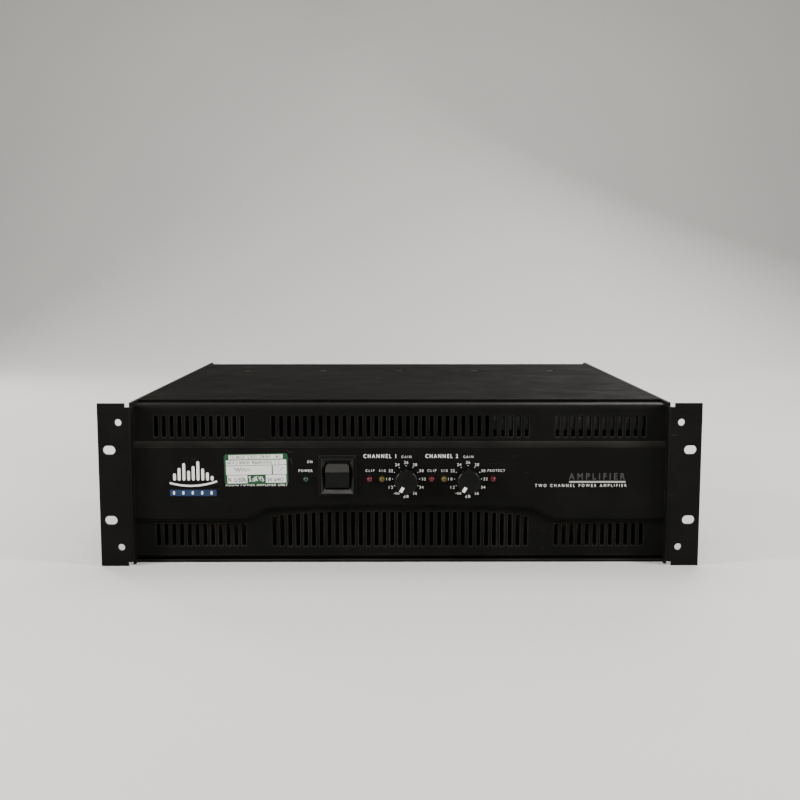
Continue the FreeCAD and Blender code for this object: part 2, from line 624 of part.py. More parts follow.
def power_switch_body():
    """The switch's housing and its bezel, which slopes in to the well that holds the rocker."""
    x, z = SWITCH_X, SWITCH_Z
    ridge_y = MID_Y - BEZEL_PROUD
    bezel = frustum_y(RIDGE_OUTER, ridge_y, BEZEL_HALF, MID_Y)
    w, h = SWITCH_HOLE
    housing = box(x - w + 0.15, x + w - 0.15, MID_Y, 34, z - h + 0.15, z + h - 0.15)
    slope = frustum_y(RIDGE_INNER, ridge_y, WINDOW_HALF, WINDOW_Y)
    wide = WINDOW_HALF[0]
    well = rod_x(ROCKER_PIVOT_Y, z, WELL_RADIUS, x - wide, x + wide)
    pin = rod_x(ROCKER_PIVOT_Y, z, ROCKER_PIN + RUNNING_GAP, x - wide - 1.5, x + wide + 1.5)
    blades = [box(x + dx - 3.1, x + dx + 3.1, 34, 43, z + dz - 0.4, z + dz + 0.4)
              for dx in (-6.5, 6.5) for dz in (-8, 8)]
    return cut(fuse([bezel, housing] + blades), [slope, well, pin])


# ---------------------------------------------------------------- power supply


def mains_transformer(x, y):
    """A wound ring core: a ring with well-rounded edges, standing on a rubber pad."""
    ring = rod_z(x, y, TOROID_OUTER, TOROID_Z[0], TOROID_Z[1])
    ring = ring.cut(rod_z(x, y, TOROID_INNER, TOROID_Z[0] - 1, TOROID_Z[1] + 1))
    rims = [e for e in ring.Edges if abs(e.Length - 2 * math.pi * TOROID_OUTER) < 1]
    return ring.makeFillet(9.0, rims)


def transformer_pad(x, y):
    pad = rod_z(x, y, TOROID_OUTER - 6, BASE_TOP, TOROID_Z[0])
    return pad.cut(rod_z(x, y, 4.5, BASE_TOP - 1, TOROID_Z[0] + 1))


def transformer_clamp(x, y):
    """The dished washer on top of the transformer."""
    z = TOROID_Z[1]
    plate = cone_z(x, y, 40, 36, z, z + 2.5)
    hub = rod_z(x, y, TOROID_INNER - 1, z - 12, z)
    return cut(plate.fuse(hub), [rod_z(x, y, 4.0, z - 13, z + 4)])


def transformer_bolt(x, y):
    z = TOROID_Z[1] + 2.5
    shank = rod_z(x, y, 4.0, -HALF_H + 0.4, z)
    head = hexagon_y(0, 0, 6.5, 0, 5.5)
    head.rotate(V(0, 0, 0), V(1, 0, 0), 90)
    head.translate(V(x, y, z))
    return shank.fuse(head)


def capacitors(sign):
    """Four upright reservoir capacitors with a vent cross pressed into each top."""
    cans = []
    z0 = SUPPLY_BOARD_Z + BOARD_THICK
    z1 = 12.0
    for x, y in CAPACITOR_PLACES:
        can = rod_z(sign * x, y, CAPACITOR_RADIUS, z0, z1)
        rim = [e for e in can.Edges if abs(e.CenterOfMass.z - z1) < 0.1 and e.Length > 90]
        can = can.makeFillet(2.5, rim)
        cross = [box(sign * x - 9, sign * x + 9, y - 0.5, y + 0.5, z1 - 0.6, z1 + 1),
                 box(sign * x - 0.5, sign * x + 0.5, y - 9, y + 9, z1 - 0.6, z1 + 1)]
        cans.append(cut(can, cross))
    return cans


def supply_board(sign):
    """The board under the capacitors, on four pillars, with its rectifier and fuse holders."""
    lo, hi = sorted((sign * 88, sign * 200))
    z = SUPPLY_BOARD_Z
    board = box(lo, hi, 184, 300, z, z + BOARD_THICK)
    pillars = [rod_z(x, y, 3, BASE_TOP, z) for x in (lo + 5, hi - 5) for y in (189, 295)]
    cx = sign * 186
    rectifier = box(cx - 10, cx + 10, 200, 228, z + BOARD_THICK, z + 9)
    fuses = [box(cx - 11, cx + 11, y, y + 8, z + BOARD_THICK, z + 12) for y in (240, 254, 268)]
    relay = box(sign * 130 - 14, sign * 130 + 14, 270, 286, z + BOARD_THICK, z + 22)
    return fuse([board, rectifier, relay] + pillars + fuses)


# ---------------------------------------------------------------- cooling and output stage


def heatsink(sign):
    """An extruded heat sink: a back plate with level fins that point into the tunnel."""
    plate_in, plate_out, fin_tip = TUNNEL_HALF - SINK_PLATE, TUNNEL_HALF, 2.0
    solids = [box(plate_in, plate_out, SINK_Y[0], SINK_Y[1], BASE_TOP, COVER_UNDER - BRACE_THICK)]
    for z in spaced(-SINK_HALF_H + 1, SINK_HALF_H - 1, FIN_COUNT):
        solids.append(box(fin_tip, plate_in + 0.5, SINK_Y[0], SINK_Y[1], z - 0.9, z + 0.9))
    sink = fuse(solids)
    return sink if sign > 0 else mirrored(sink)


def output_transistors(sign):
    """Sixteen power transistors clamped to the outer face of a heat sink."""
    devices = []
    for y in spaced(90, 306, 8):
        for z in (-30, 22):
            x = TUNNEL_HALF
            body = box(x, x + 5, y - 8, y + 8, z - 10, z + 10)
            legs = [box(x + 2.2, x + 2.8, y + dy - 0.6, y + dy + 0.6, z - 16, z - 10) for dy in (-5, 0, 5)]
            device = fuse([body] + legs)
            devices.append(device if sign > 0 else mirrored(device))
    return devices


def amplifier_board(sign):
    """An upright channel board beside the heat sink, with its resistors and driver parts."""
    x = TUNNEL_HALF + 9
    y0, y1 = 66.0, 330.0
    board = box(x, x + BOARD_THICK, y0, y1, -50, 46)
    pillars = [rod_x(y, z, 3, TUNNEL_HALF, x) for y in (72, 324) for z in (-44, 40)]
    parts = [box(x + BOARD_THICK, x + 8, y, y + 22, z, z + 6)
             for y in spaced(190, 300, 4) for z in (-20, 0, 20)]
    parts += [rod_x(y, 33, 4.0, x + BOARD_THICK, x + 13) for y in spaced(190, 310, 6)]
    solid = fuse([board] + pillars + parts)
    return solid if sign > 0 else mirrored(solid)


def fan_screw_places():
    return [(x, z) for x in both([FAN_HOLE]) for z in both([FAN_HOLE])]


def fan_frame():
    """The square duct of the fan, with the motor plate on four arms at its inner face."""
    half = FAN_SIZE / 2
    frame = box(-half, half, FAN_Y0, REAR_PANEL_Y, -half, half)
    frame = frame.cut(rod_y(0, 0, DUCT_RADIUS, FAN_Y0 - 1, REAR_PANEL_Y + 1))
    plate = rod_y(0, 0, HUB_RADIUS, FAN_Y0, FAN_Y0 + MOTOR_DEPTH)
    arms = [box(-3, 3, FAN_Y0, FAN_Y0 + 4, HUB_RADIUS - 2, DUCT_RADIUS + 1)]
    for angle in (90, 180, 270):
        arm = arms[0].copy()
        arm.rotate(V(0, 0, 0), V(0, 1, 0), angle)
        arms.append(arm)
    bore = rod_y(0, 0, SPINDLE_RADIUS + RUNNING_GAP, FAN_Y0 - 1, FAN_Y0 + MOTOR_DEPTH + 1)
    holes = [rod_y(x, z, 2.2, FAN_Y0 - 1, REAR_PANEL_Y + 1) for x, z in fan_screw_places()]
    return cut(fuse([frame, plate] + arms), [bore] + holes)


def fan_rotor():
    """Hub, spindle and seven pitched blades."""
    y0 = FAN_Y0 + MOTOR_DEPTH + 0.8
    y1 = REAR_PANEL_Y - 2.0
    tip = DUCT_RADIUS - 1.5
    hub = rod_y(0, 0, HUB_RADIUS + 1.0, y0, y1)
    hub = hub.makeFillet(3.0, [e for e in hub.Edges if abs(e.CenterOfMass.y - y1) < 0.1 and e.Length > 50])
    spindle = rod_y(0, 0, SPINDLE_RADIUS, FAN_Y0 + 1, y0 + 1)
    mid_y = (y0 + y1) / 2

    def chord(radius, pitch, length):
        a = math.radians(pitch)
        dx, dy = length / 2 * math.cos(a), length / 2 * math.sin(a)
        nx, ny = 0.9 * math.sin(a), -0.9 * math.cos(a)
        corners = [(-dx - nx, -dy - ny), (dx - nx, dy - ny), (dx + nx, dy + ny), (-dx + nx, -dy + ny)]
        return Part.Wire(polygon([V(x, mid_y + y, radius) for x, y in corners]))

    blade = Part.makeLoft([chord(HUB_RADIUS - 1, 52, 25), chord(tip + 3, 30, 40)], True, True)
    blade = blade.common(rod_y(0, 0, tip, y0, y1))
    blades = []
    for i in range(BLADES):
        piece = blade.copy()
        piece.rotate(V(0, 0, 0), V(0, 1, 0), 360.0 * i / BLADES)
        blades.append(piece)
    return fuse([hub, spindle] + blades)


def fan_guard():
    """The wire finger guard on the rear panel: rings, two cross wires and four eyes."""
    wire = GUARD_WIRE
    ring_centre = PANEL_BACK + 1.4
    bar_centre = ring_centre + 1.5
    guard = None
    for radius in GUARD_RINGS:
        ring = Part.makeTorus(radius, wire, V(0, ring_centre, 0), V(0, 1, 0))
        guard = ring if guard is None else guard.fuse(ring)
    reach = FAN_HOLE * math.sqrt(2)
    for angle in (45, 135, 225, 315):
        a = math.radians(angle)
        x, z = reach * math.cos(a), reach * math.sin(a)
        start = GUARD_RINGS[0] - 2.5
        bar = Part.makeCylinder(wire, reach - start, V(start * math.cos(a), bar_centre, start * math.sin(a)),
                                V(math.cos(a), 0, math.sin(a)))
        bar = bar.cut(rod_y(x, z, 3.8, PANEL_BACK, PANEL_BACK + 6))
        eye = ring_y(x, z, 6.2, 2.2, PANEL_BACK, PANEL_BACK + GUARD_EYE)
        guard = guard.fuse(bar).fuse(eye)
    return guard


# ---------------------------------------------------------------- rear panel


def post_places():
    return [(x, z) for z in POST_Z for x in POST_X]


def socket_screw_places():
    return [(x + s * FLANGE_SCREW[0], z + s * FLANGE_SCREW[1])
            for x, z in XLR_PLACES + SPEAKER_PLACES for s in (-1, 1)]


def rear_panel():
    """The steel rear panel: fan opening, connector cut-outs and two rows of vents."""
    plate = box(-INNER_HALF, INNER_HALF, REAR_PANEL_Y, PANEL_BACK, BASE_TOP, COVER_UNDER)
    tools = [rod_y(0, 0, DUCT_RADIUS, REAR_PANEL_Y - 1, PANEL_BACK + 1)]

    def hole(x, z, radius):
        tools.append(rod_y(x, z, radius, REAR_PANEL_Y - 1, PANEL_BACK + 1))

    for x, z in fan_screw_places():
        hole(x, z, 2.0)
    for x, z in XLR_PLACES + SPEAKER_PLACES:
        hole(x, z, BARREL_RADIUS + 0.2)
    for x, z in JACK_PLACES:
        hole(x, z, JACK_BUSH + 0.1)
    for x, z in socket_screw_places():
        hole(x, z, 1.5)
    for x, z in post_places():
        hole(x, z, 3.5)
    for x in REAR_SCREW_X:
        hole(x, BASE_TOP + FLANGE / 2, 2.0)
    hole(BREAKER[0], BREAKER[1], BREAKER_NECK + 0.1)
    w, h = INLET_HOLE
    x, z = INLET
    tools.append(box(x - w, x + w, REAR_PANEL_Y - 1, PANEL_BACK + 1, z - h, z + h))
    mx, mz = MODE_SWITCH
    tools.append(box(mx - 6, mx + 6, REAR_PANEL_Y - 1, PANEL_BACK + 1, mz - 2.6, mz + 2.6))
    tools += [latch_slot(x, z) for x, z in XLR_PLACES]
    return cut(plate, tools)


def latch_slot(x, z):
    return box(x - 4.1, x + 4.1, 366, PANEL_BACK + 3, z + 9.2, z + 12.9)


def xlr_socket(x, z):
    """A three-pole input socket: flange, barrel, and the keyed ring space round its insert."""
    fw, fh = FLANGE_HALF
    flange = box(x - fw, x + fw, PANEL_BACK, PANEL_BACK + 2, z - fh, z + fh)
    corners = [e for e in flange.Edges if abs(e.Length - 2) < 0.01]
    flange = flange.makeFillet(2.5, corners)
    barrel = rod_y(x, z, BARREL_RADIUS, 350, PANEL_BACK)
    well = rod_y(x, z, 9.7, 358, PANEL_BACK + 3)
    insert = rod_y(x, z, 7.6, 357, PANEL_BACK + 1.6)
    poles = [rod_y(x + 4.2 * math.cos(math.radians(a)), z + 4.2 * math.sin(math.radians(a)), 1.3, 364,
                   PANEL_BACK + 3) for a in (30, 150, 270)]
    solder = [box(x + dx - 1, x + dx + 1, 344, 350, z - 0.4, z + 0.4) for dx in (-5, 0, 5)]
    holes = [rod_y(x + s * FLANGE_SCREW[0], z + s * FLANGE_SCREW[1], 1.6, PANEL_BACK - 1, PANEL_BACK + 3)
             for s in (-1, 1)]
    shell = cut(flange.fuse(barrel), [well])
    body = fuse([shell, insert] + solder)
    return cut(body, poles + [latch_slot(x, z)] + holes)


def xlr_latch(x, z):
    """The release tab that is pressed in to free the plug."""
    tab = box(x - 4, x + 4, 369, PANEL_BACK + 3.2, z + 9.8, z + 12.4)
    edges = [e for e in tab.Edges if abs(e.CenterOfMass.y - (PANEL_BACK + 3.2)) < 0.01]
    return tab.makeChamfer(0.5, edges)


def jack_socket(x, z):
    """A three-pole quarter-inch jack with its threaded bush through the panel."""
    body = box(x - 8, x + 8, 348, REAR_PANEL_Y, z - 8, z + 8)
    bush = rod_y(x, z, JACK_BUSH, REAR_PANEL_Y, PANEL_BACK + 4)
    bore = rod_y(x, z, JACK_BORE, 352, PANEL_BACK + 5)
    return cut(body.fuse(bush), [bore])


def jack_nut(x, z):
    nut = hexagon_y(x, z, 7.0, PANEL_BACK, PANEL_BACK + 2.4)
    return nut.cut(rod_y(x, z, JACK_BUSH, PANEL_BACK - 1, PANEL_BACK + 3))


def speaker_socket(x, z):
    """A four-pole twist-lock loudspeaker socket: flange, deep ring space and centre post."""
    fw, fh = FLANGE_HALF
    flange = box(x - fw, x + fw, PANEL_BACK, PANEL_BACK + 3, z - fh, z + fh)
    flange = flange.makeFillet(2.5, [e for e in flange.Edges if abs(e.Length - 3) < 0.01])
    barrel = rod_y(x, z, BARREL_RADIUS, 346, PANEL_BACK)
    well = rod_y(x, z, 10.6, 354, PANEL_BACK + 4)
    post = rod_y(x, z, 5.4, 353, PANEL_BACK + 1)
    keys = [box(x - 1.5, x + 1.5, PANEL_BACK - 12, PANEL_BACK + 3, z + s * 10 - 1.1, z + s * 10 + 1.1)
            for s in (-1, 1)]
    tags = [box(x + dx - 1.6, x + dx + 1.6, 338, 346, z + dz - 0.4, z + dz + 0.4)
            for dx in (-4, 4) for dz in (-4, 4)]
    holes = [rod_y(x + s * FLANGE_SCREW[0], z + s * FLANGE_SCREW[1], 1.6, PANEL_BACK - 1, PANEL_BACK + 4)
             for s in (-1, 1)]
    shell = cut(flange.fuse(barrel), [well])
    return cut(fuse([shell, post] + keys + tags), holes)


def binding_post(x, z):
    """A binding post's stud, with its insulating collars either side of the panel."""
    stud = rod_y(x, z, POST_STUD, 358, CAP_BACK + CAP_LENGTH - 3)
    bush = rod_y(x, z, 3.5, REAR_PANEL_Y, PANEL_BACK)
    collar = rod_y(x, z, 7.2, PANEL_BACK, CAP_BACK - 0.3)
    back = rod_y(x, z, 6.0, REAR_PANEL_Y - 3, REAR_PANEL_Y)
    nut = hexagon_y(x, z, 4.0, REAR_PANEL_Y - 6, REAR_PANEL_Y - 3)
    return fuse([stud, bush, collar, back, nut])


def binding_cap(x, z):
    """The screw cap: twelve flutes outside, threaded bore, banana-plug hole at its end."""
    y0, y1 = CAP_BACK, CAP_BACK + CAP_LENGTH
    cap = turned([(0, y0), (6.4, y0), (6.4, y1 - 1), (5.4, y1), (0, y1)], V(x, 0, z))
    flutes = [rod_y(x + 7.0 * math.cos(math.radians(30 * i)), z + 7.0 * math.sin(math.radians(30 * i)), 1.2,
                    y0 + 2, y1 + 1) for i in range(12)]
    bores = [rod_y(x, z, POST_STUD + RUNNING_GAP, y0 - 1, y1 - 2.9), rod_y(x, z, 2.05, y1 - 4, y1 + 1)]
    return cut(cap, flutes + bores)


def mains_inlet():
    """A high-current three-pin mains inlet, held by a flange on the outside of the panel."""
    x, z = INLET
    w, h = INLET_HOLE
    flange = box(x - 21, x + 21, PANEL_BACK, PANEL_BACK + 3, z - 14, z + 14)
    flange = flange.makeFillet(4.0, [e for e in flange.Edges if abs(e.Length - 3) < 0.01])
    housing = box(x - w + 0.2, x + w - 0.2, 344, PANEL_BACK, z - h + 0.2, z + h - 0.2)
    well = box(x - 12.6, x + 12.6, 358, PANEL_BACK + 4, z - 9.6, z + 9.6)
    pins = [box(x + dx - 1.0, x + dx + 1.0, 350, PANEL_BACK - 4, z + dz - 3.0, z + dz + 3.0)
            for dx, dz in INLET_PINS]
    tabs = [box(x + dx - 3.1, x + dx + 3.1, 335, 344, z + dz - 0.4, z + dz + 0.4)
            for dx, dz in INLET_PINS]
    holes = [rod_y(x + s * 17.5, z, 1.6, PANEL_BACK - 1, PANEL_BACK + 4) for s in (-1, 1)]
    shell = cut(flange.fuse(housing), [well])
    return cut(fuse([shell] + pins + tabs), holes)


def breaker():
    """The circuit breaker: body inside, threaded neck and ring nut outside."""
    x, z = BREAKER
    body = box(x - 8, x + 8, 340, REAR_PANEL_Y, z - 15, z + 15)
    neck = rod_y(x, z, BREAKER_NECK, REAR_PANEL_Y, PANEL_BACK + 5)
    nut = hexagon_y(x, z, 8.0, PANEL_BACK, PANEL_BACK + 2.5)
    bore = rod_y(x, z, BUTTON_RADIUS + RUNNING_GAP, 358, PANEL_BACK + 6)
    tabs = [box(x - 3.1, x + 3.1, 331, 340, z + dz - 0.4, z + dz + 0.4) for dz in (-8, 8)]
    return cut(fuse([body, neck, nut] + tabs), [bore])


def breaker_button():
    """The reset button; it pops out when the breaker trips."""
    x, z = BREAKER
    tip = PANEL_BACK + 7
    button = rod_y(x, z, BUTTON_RADIUS, 362, tip)
    rim = [e for e in button.Edges if abs(e.CenterOfMass.y - tip) < 0.1 and e.Length > 10]
    return button.makeFillet(0.8, rim)


def mode_switch():
    """A three-place slide switch: stereo, parallel or bridge."""
    x, z = MODE_SWITCH
    body = box(x - 11, x + 11, 364, REAR_PANEL_Y, z - 6, z + 6)
    slot = box(x - 5.9, x + 5.9, 368, REAR_PANEL_Y + 1, z - 2.2, z + 2.2)
    pins = [rod_y(x + dx, z, 0.6, 358, 364) for dx in (-6, -2, 2, 6)]
    return cut(fuse([body] + pins), [slot])


def mode_slider():
    """The slider, at its first place, with three grooves across its grip."""
    x, z = MODE_SWITCH[0] - MODE_STEP, MODE_SWITCH[1]
    foot = box(x - 3.2, x + 3.2, 369, REAR_PANEL_Y - 0.4, z - 2.1, z + 2.1)
    grip = box(x - 2.0, x + 2.0, 373, PANEL_BACK + 1.5, z - 2.1, z + 2.1)
    grooves = [box(x + dx - 0.25, x + dx + 0.25, PANEL_BACK + 0.9, PANEL_BACK + 2, z - 3, z + 3)
               for dx in (-1.1, 0, 1.1)]
    return cut(foot.fuse(grip), grooves)


def input_board():
    """The board behind the input sockets."""
    board = box(86, 206, 330, 331.6, -50, 50)
    parts = [box(x, x + 12, 324, 330, z, z + 8) for x in (96, 124, 152, 180) for z in (-40, -4, 26)]
    parts.append(box(195, 205.8, 324, 330, 37, 49))
    pillars = [rod_y(x, z, 2.5, 331.6, REAR_PANEL_Y) for x in (90, 202) for z in (-46, 46)]
    return fuse([board] + parts + pillars)


# ---------------------------------------------------------------- wiring
def pipe(points, radius, bend):
    """A round loom: straight runs joined by quarter bends of one radius."""
    edges = []
    start = points[0]
    for before, corner, after in zip(points, points[1:], points[2:]):
        into = (corner - before).normalize()
        out = (after - corner).normalize()
        reach = bend * math.tan(into.getAngle(out) / 2)
        a, c = corner - into * reach, corner + out * reach
        bisect = (out - into).normalize()
        middle = corner + bisect * (bend / math.cos(into.getAngle(out) / 2) - bend)
        edges += [line(start, a), arc(a, middle, c)]
        start = c
    edges.append(line(start, points[-1]))
    path = Part.Wire(edges)
    direction = (points[1] - points[0]).normalize()
    section = Part.Wire([Part.makeCircle(radius, points[0], direction)])
    return path.makePipeShell([section], True, False)


def mains_loom():
    """Mains leads from the inlet, forwards above the transformer, to the power switch."""
    x, z = INLET[0], INLET[1] + INLET_PINS[1][1]
    high, front = 46.0, 52.0
    end_x, end_z = SWITCH_X - 6.5, SWITCH_Z - 8
    return pipe([V(x, 335, z), V(x, 320, z), V(x, 320, high), V(x, front, high), V(end_x, front, high),
                 V(end_x, front, end_z), V(end_x, 43, end_z)], 3.0, 4.5)


def control_ribbon():
    """The flat cable from the input board to the control board, along the floor."""
    z = 50.0
    return fuse([box(204, 205.2, 46, 324, z - 12, z), box(77, 205.2, 44.8, 46, z - 12, z),
                 box(76, 78, 41, 46, 24, z), box(196, 205.2, 322.8, 324, z - 12, z)])


def speaker_loom(channel):
    """Two leads from an amplifier board to its loudspeaker socket."""
    x, z = SPEAKER_PLACES[channel]
    towards = 14.0 if channel else -14.0
    return pipe([V(x + 4, 338, z), V(x + 4, 322, z), V(x + 4, 322, z + towards),
                 V(-82, 322, z + towards)], 2.0, 4.5)


# ---------------------------------------------------------------- assembly
def main():
    save("base_plate", base_plate())
    right = side_panel()
    save("side_panel_right", right)
    save("side_panel_left", mirrored(right))
    save("top_cover", top_cover())
    save("top_cover_brace", cover_brace())
    save("rear_panel", rear_panel())
    save("front_fascia", front_fascia())
    save("front_subpanel", front_subpanel())
    save("top_cover_screws", *[cover_screw(x) for x in COVER_SCREW_X])
    save("side_panel_screws", *[csk_screw_x(s, y, z) for s in (-1, 1) for y, z in side_screw_places()])
    edge_screws = [pan_screw_y(x, BASE_TOP + FLANGE / 2, PANEL_BACK) for x in REAR_SCREW_X]
    fan_screws = [pan_screw_y(x, z, PANEL_BACK + GUARD_EYE, length=10) for x, z in fan_screw_places()]
    save("rear_panel_screws", *(edge_screws + fan_screws))
    save("fascia_screws", *[fascia_screw(x, z) for x, z in FASCIA_BOSS])

    save("power_switch_body", power_switch_body())
    save("power_rocker", power_rocker())
    save("power_lamp", led(POWER_LED_X))
    save("protect_lamp", led(PROTECT_LED_X))
    save("clip_lamps", *[led(x) for x in CLIP_LED_X])
    save("signal_lamps", *[led(x) for x in SIGNAL_LED_X])
    save("control_board", control_board())
    save("gain_pots", *[gain_pot(x) for x in KNOB_X])
    save("gain_pot_nuts", *[pot_nut(x) for x in KNOB_X])
    for i, x in enumerate(KNOB_X, 1):
        save("gain_knob_%d" % i, gain_knob(x))
        save("gain_shaft_%d" % i, gain_shaft(x))
        save("gain_pointer_%d" % i, knob_pointer(x))

    save("mains_transformers", *[mains_transformer(x, y) for x, y in TOROID_PLACES])
    save("transformer_pads", *[transformer_pad(x, y) for x, y in TOROID_PLACES])
    save("transformer_clamps", *[transformer_clamp(x, y) for x, y in TOROID_PLACES])
    save("transformer_bolts", *[transformer_bolt(x, y) for x, y in TOROID_PLACES])
    save("reservoir_capacitors", *[can for s in (-1, 1) for can in capacitors(s)])
    save("supply_boards", *[supply_board(s) for s in (-1, 1)])

    for i, sign in enumerate((-1, 1), 1):
        save("heatsink_%d" % i, heatsink(sign))
    save("amplifier_boards", *[amplifier_board(s) for s in (-1, 1)])
    save("output_transistors", *[d for s in (-1, 1) for d in output_transistors(s)])
    save("fan_frame", fan_frame())
    save("fan_rotor", fan_rotor())
    save("fan_guard", fan_guard())

    save("input_sockets", *[xlr_socket(*p) for p in XLR_PLACES])
    for i, place in enumerate(XLR_PLACES, 1):
        save("input_latch_%d" % i, xlr_latch(*place))
    save("jack_sockets", *[jack_socket(*p) for p in JACK_PLACES])
    save("jack_nuts", *[jack_nut(*p) for p in JACK_PLACES])
    save("speaker_sockets", *[speaker_socket(*p) for p in SPEAKER_PLACES])
    save("socket_screws", *[pan_screw_y(x, z, PANEL_BACK + 2 + (x < 0), 2.6, 1.5, 8)
                            for x, z in socket_screw_places()])
    save("binding_posts", *[binding_post(*p) for p in post_places()])
    for i, place in enumerate(post_places(), 1):
        save("binding_cap_%d" % i, binding_cap(*place))
    save("mains_inlet", mains_inlet())
    save("breaker_body", breaker())
    save("breaker_button", breaker_button())
    save("mode_switch_body", mode_switch())
    save("mode_slider", mode_slider())
    save("input_board", input_board())
    save("wiring_looms", mains_loom(), speaker_loom(0), speaker_loom(1))
    save("control_ribbon", control_ribbon())


main()
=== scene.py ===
"""The looks of the rack power amplifier: finishes, printed legends, label, studio and camera.

Everything is in metres, in the frame of the CAD model: X across the front, Y to the rear, Z up.
"""
import math
import random

import bmesh
import bpy
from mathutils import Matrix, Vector


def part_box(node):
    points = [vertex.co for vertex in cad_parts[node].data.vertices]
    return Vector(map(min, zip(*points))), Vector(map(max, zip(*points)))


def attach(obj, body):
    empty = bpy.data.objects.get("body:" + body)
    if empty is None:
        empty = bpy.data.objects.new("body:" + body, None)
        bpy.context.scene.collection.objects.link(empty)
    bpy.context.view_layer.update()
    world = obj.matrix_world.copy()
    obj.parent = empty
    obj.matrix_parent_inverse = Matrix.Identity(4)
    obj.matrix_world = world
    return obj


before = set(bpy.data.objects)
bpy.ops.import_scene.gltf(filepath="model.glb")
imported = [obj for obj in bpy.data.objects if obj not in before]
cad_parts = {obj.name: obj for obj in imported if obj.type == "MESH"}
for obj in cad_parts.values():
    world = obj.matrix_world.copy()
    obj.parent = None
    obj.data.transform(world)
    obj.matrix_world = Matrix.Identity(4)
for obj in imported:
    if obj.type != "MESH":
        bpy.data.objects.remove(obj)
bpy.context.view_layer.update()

MM = 0.001


# ---------------------------------------------------------------- places, read from the frame
def low(node):
    return Vector(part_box(node)[0])


def high(node):
    return Vector(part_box(node)[1])


def middle(node):
    return (low(node) + high(node)) / 2


PANEL_Y = low("front_fascia").y                  # front plane of the proud middle band
KNOBS = [middle("gain_shaft_1"), middle("gain_shaft_2")]
COLLAR = 2.95 * MM                               # radius of a lamp's collar
POWER_LAMP = middle("power_lamp")
PROTECT_LAMP = middle("protect_lamp")
LAMP_Z = POWER_LAMP.z


def pair(node):
    """The centres, across the front, of the two lamps in one node."""
    return low(node).x + COLLAR, high(node).x - COLLAR


# ---------------------------------------------------------------- shader helpers
class Shader:
    """A Principled material with short calls for the texture nodes that it is built from."""

    def __init__(self, name, colour, roughness, metallic=0.0, specular=0.5):
        self.material = bpy.data.materials.new(name)
        self.material.use_nodes = True
        self.material.diffuse_color = (*colour, 1.0)
        self.tree = self.material.node_tree
        self.surface = self.tree.nodes["Principled BSDF"]
        self.set("Base Color", (*colour, 1.0))
        self.set("Roughness", roughness)
        self.set("Metallic", metallic)
        self.set("Specular IOR Level", specular)
        self.place = self.tree.nodes.new("ShaderNodeTexCoord").outputs["Object"]

    def set(self, socket, value):
        self.surface.inputs[socket].default_value = value

    def link(self, source, socket):
        self.tree.links.new(source, self.surface.inputs[socket])

    def node(self, kind, **settings):
        node = self.tree.nodes.new(kind)
        for key, value in settings.items():
            setattr(node, key, value)
        return node

    def feed(self, socket, value):
        if isinstance(value, bpy.types.NodeSocket):
            self.tree.links.new(value, socket)
        else:
            socket.default_value = value

    def scaled(self, scale, turn=(0.0, 0.0, 0.0)):
        mapping = self.node("ShaderNodeMapping")
        self.feed(mapping.inputs["Vector"], self.place)
        mapping.inputs["Scale"].default_value = scale
        mapping.inputs["Rotation"].default_value = turn
        return mapping.outputs["Vector"]

    def noise(self, scale, detail=4.0, vector=None):
        node = self.node("ShaderNodeTexNoise")
        self.feed(node.inputs["Vector"], vector or self.place)
        node.inputs["Scale"].default_value = scale
        node.inputs["Detail"].default_value = detail
        return node.outputs["Fac"]

    def speckle(self, scale):
        node = self.node("ShaderNodeTexVoronoi")
        self.feed(node.inputs["Vector"], self.place)
        node.inputs["Scale"].default_value = scale
        return node.outputs["Distance"]

    def span(self, value, a, b, out_a=0.0, out_b=1.0):
        node = self.node("ShaderNodeMapRange")
        self.feed(node.inputs["Value"], value)
        for socket, number in zip(("From Min", "From Max", "To Min", "To Max"), (a, b, out_a, out_b)):
            node.inputs[socket].default_value = number
        return node.outputs["Result"]

    def math(self, operation, a, b=0.0):
        node = self.node("ShaderNodeMath", operation=operation, use_clamp=True)
        self.feed(node.inputs[0], a)
        self.feed(node.inputs[1], b)
        return node.outputs[0]

    def blend(self, factor, a, b):
        node = self.node("ShaderNodeMix", data_type="RGBA")
        self.feed(node.inputs["Factor"], factor)
        self.feed(node.inputs["A"], a)
        self.feed(node.inputs["B"], b)
        return node.outputs["Result"]

    def facing_up(self, start=0.35, full=0.95):
        geometry = self.node("ShaderNodeNewGeometry")
        split = self.node("ShaderNodeSeparateXYZ")
        self.feed(split.inputs[0], geometry.outputs["Normal"])
        return self.span(split.outputs["Z"], start, full)

    def edges(self, radius, sharpness=0.12):
        """1 near a sharp edge, 0 on a flat: how far a rounded normal leaves the true one."""
        rounded = self.node("ShaderNodeBevel", samples=6)
        rounded.inputs["Radius"].default_value = radius
        geometry = self.node("ShaderNodeNewGeometry")
        dot = self.node("ShaderNodeVectorMath", operation="DOT_PRODUCT")
        self.feed(dot.inputs[0], rounded.outputs["Normal"])
        self.feed(dot.inputs[1], geometry.outputs["Normal"])
        return self.span(dot.outputs["Value"], 1.0, 1.0 - sharpness)

    def bump(self, height, distance):
        node = self.node("ShaderNodeBump")
        node.inputs["Strength"].default_value = 1.0
        node.inputs["Distance"].default_value = distance
        self.feed(node.inputs["Height"], height)
        self.link(node.outputs["Normal"], "Normal")


def rgba(colour, gain=1.0):
    return tuple(channel * gain for channel in colour) + (1.0,)


# Dust grey, which also paints highlight on the fascia's ledge and the rocker's upward faces.
DUST_AND_SHEEN = (0.105, 0.098, 0.082)
SPECK = (0.28, 0.26, 0.22)                       # grains of dust that stand out
RUBBED_AND_HIGHLIGHT = (0.10, 0.095, 0.088)                    # coating worn thin, also painted highlight along sharp edges
TOP_SHADE_FADE = 0.004                                # height over which the painted shade comes in at the fascia's top
LEDGE_SHEEN_START, LEDGE_SHEEN_FULL = 0.0298, 0.0338         # heights over which the ledge's film comes in: dust and painted highlight
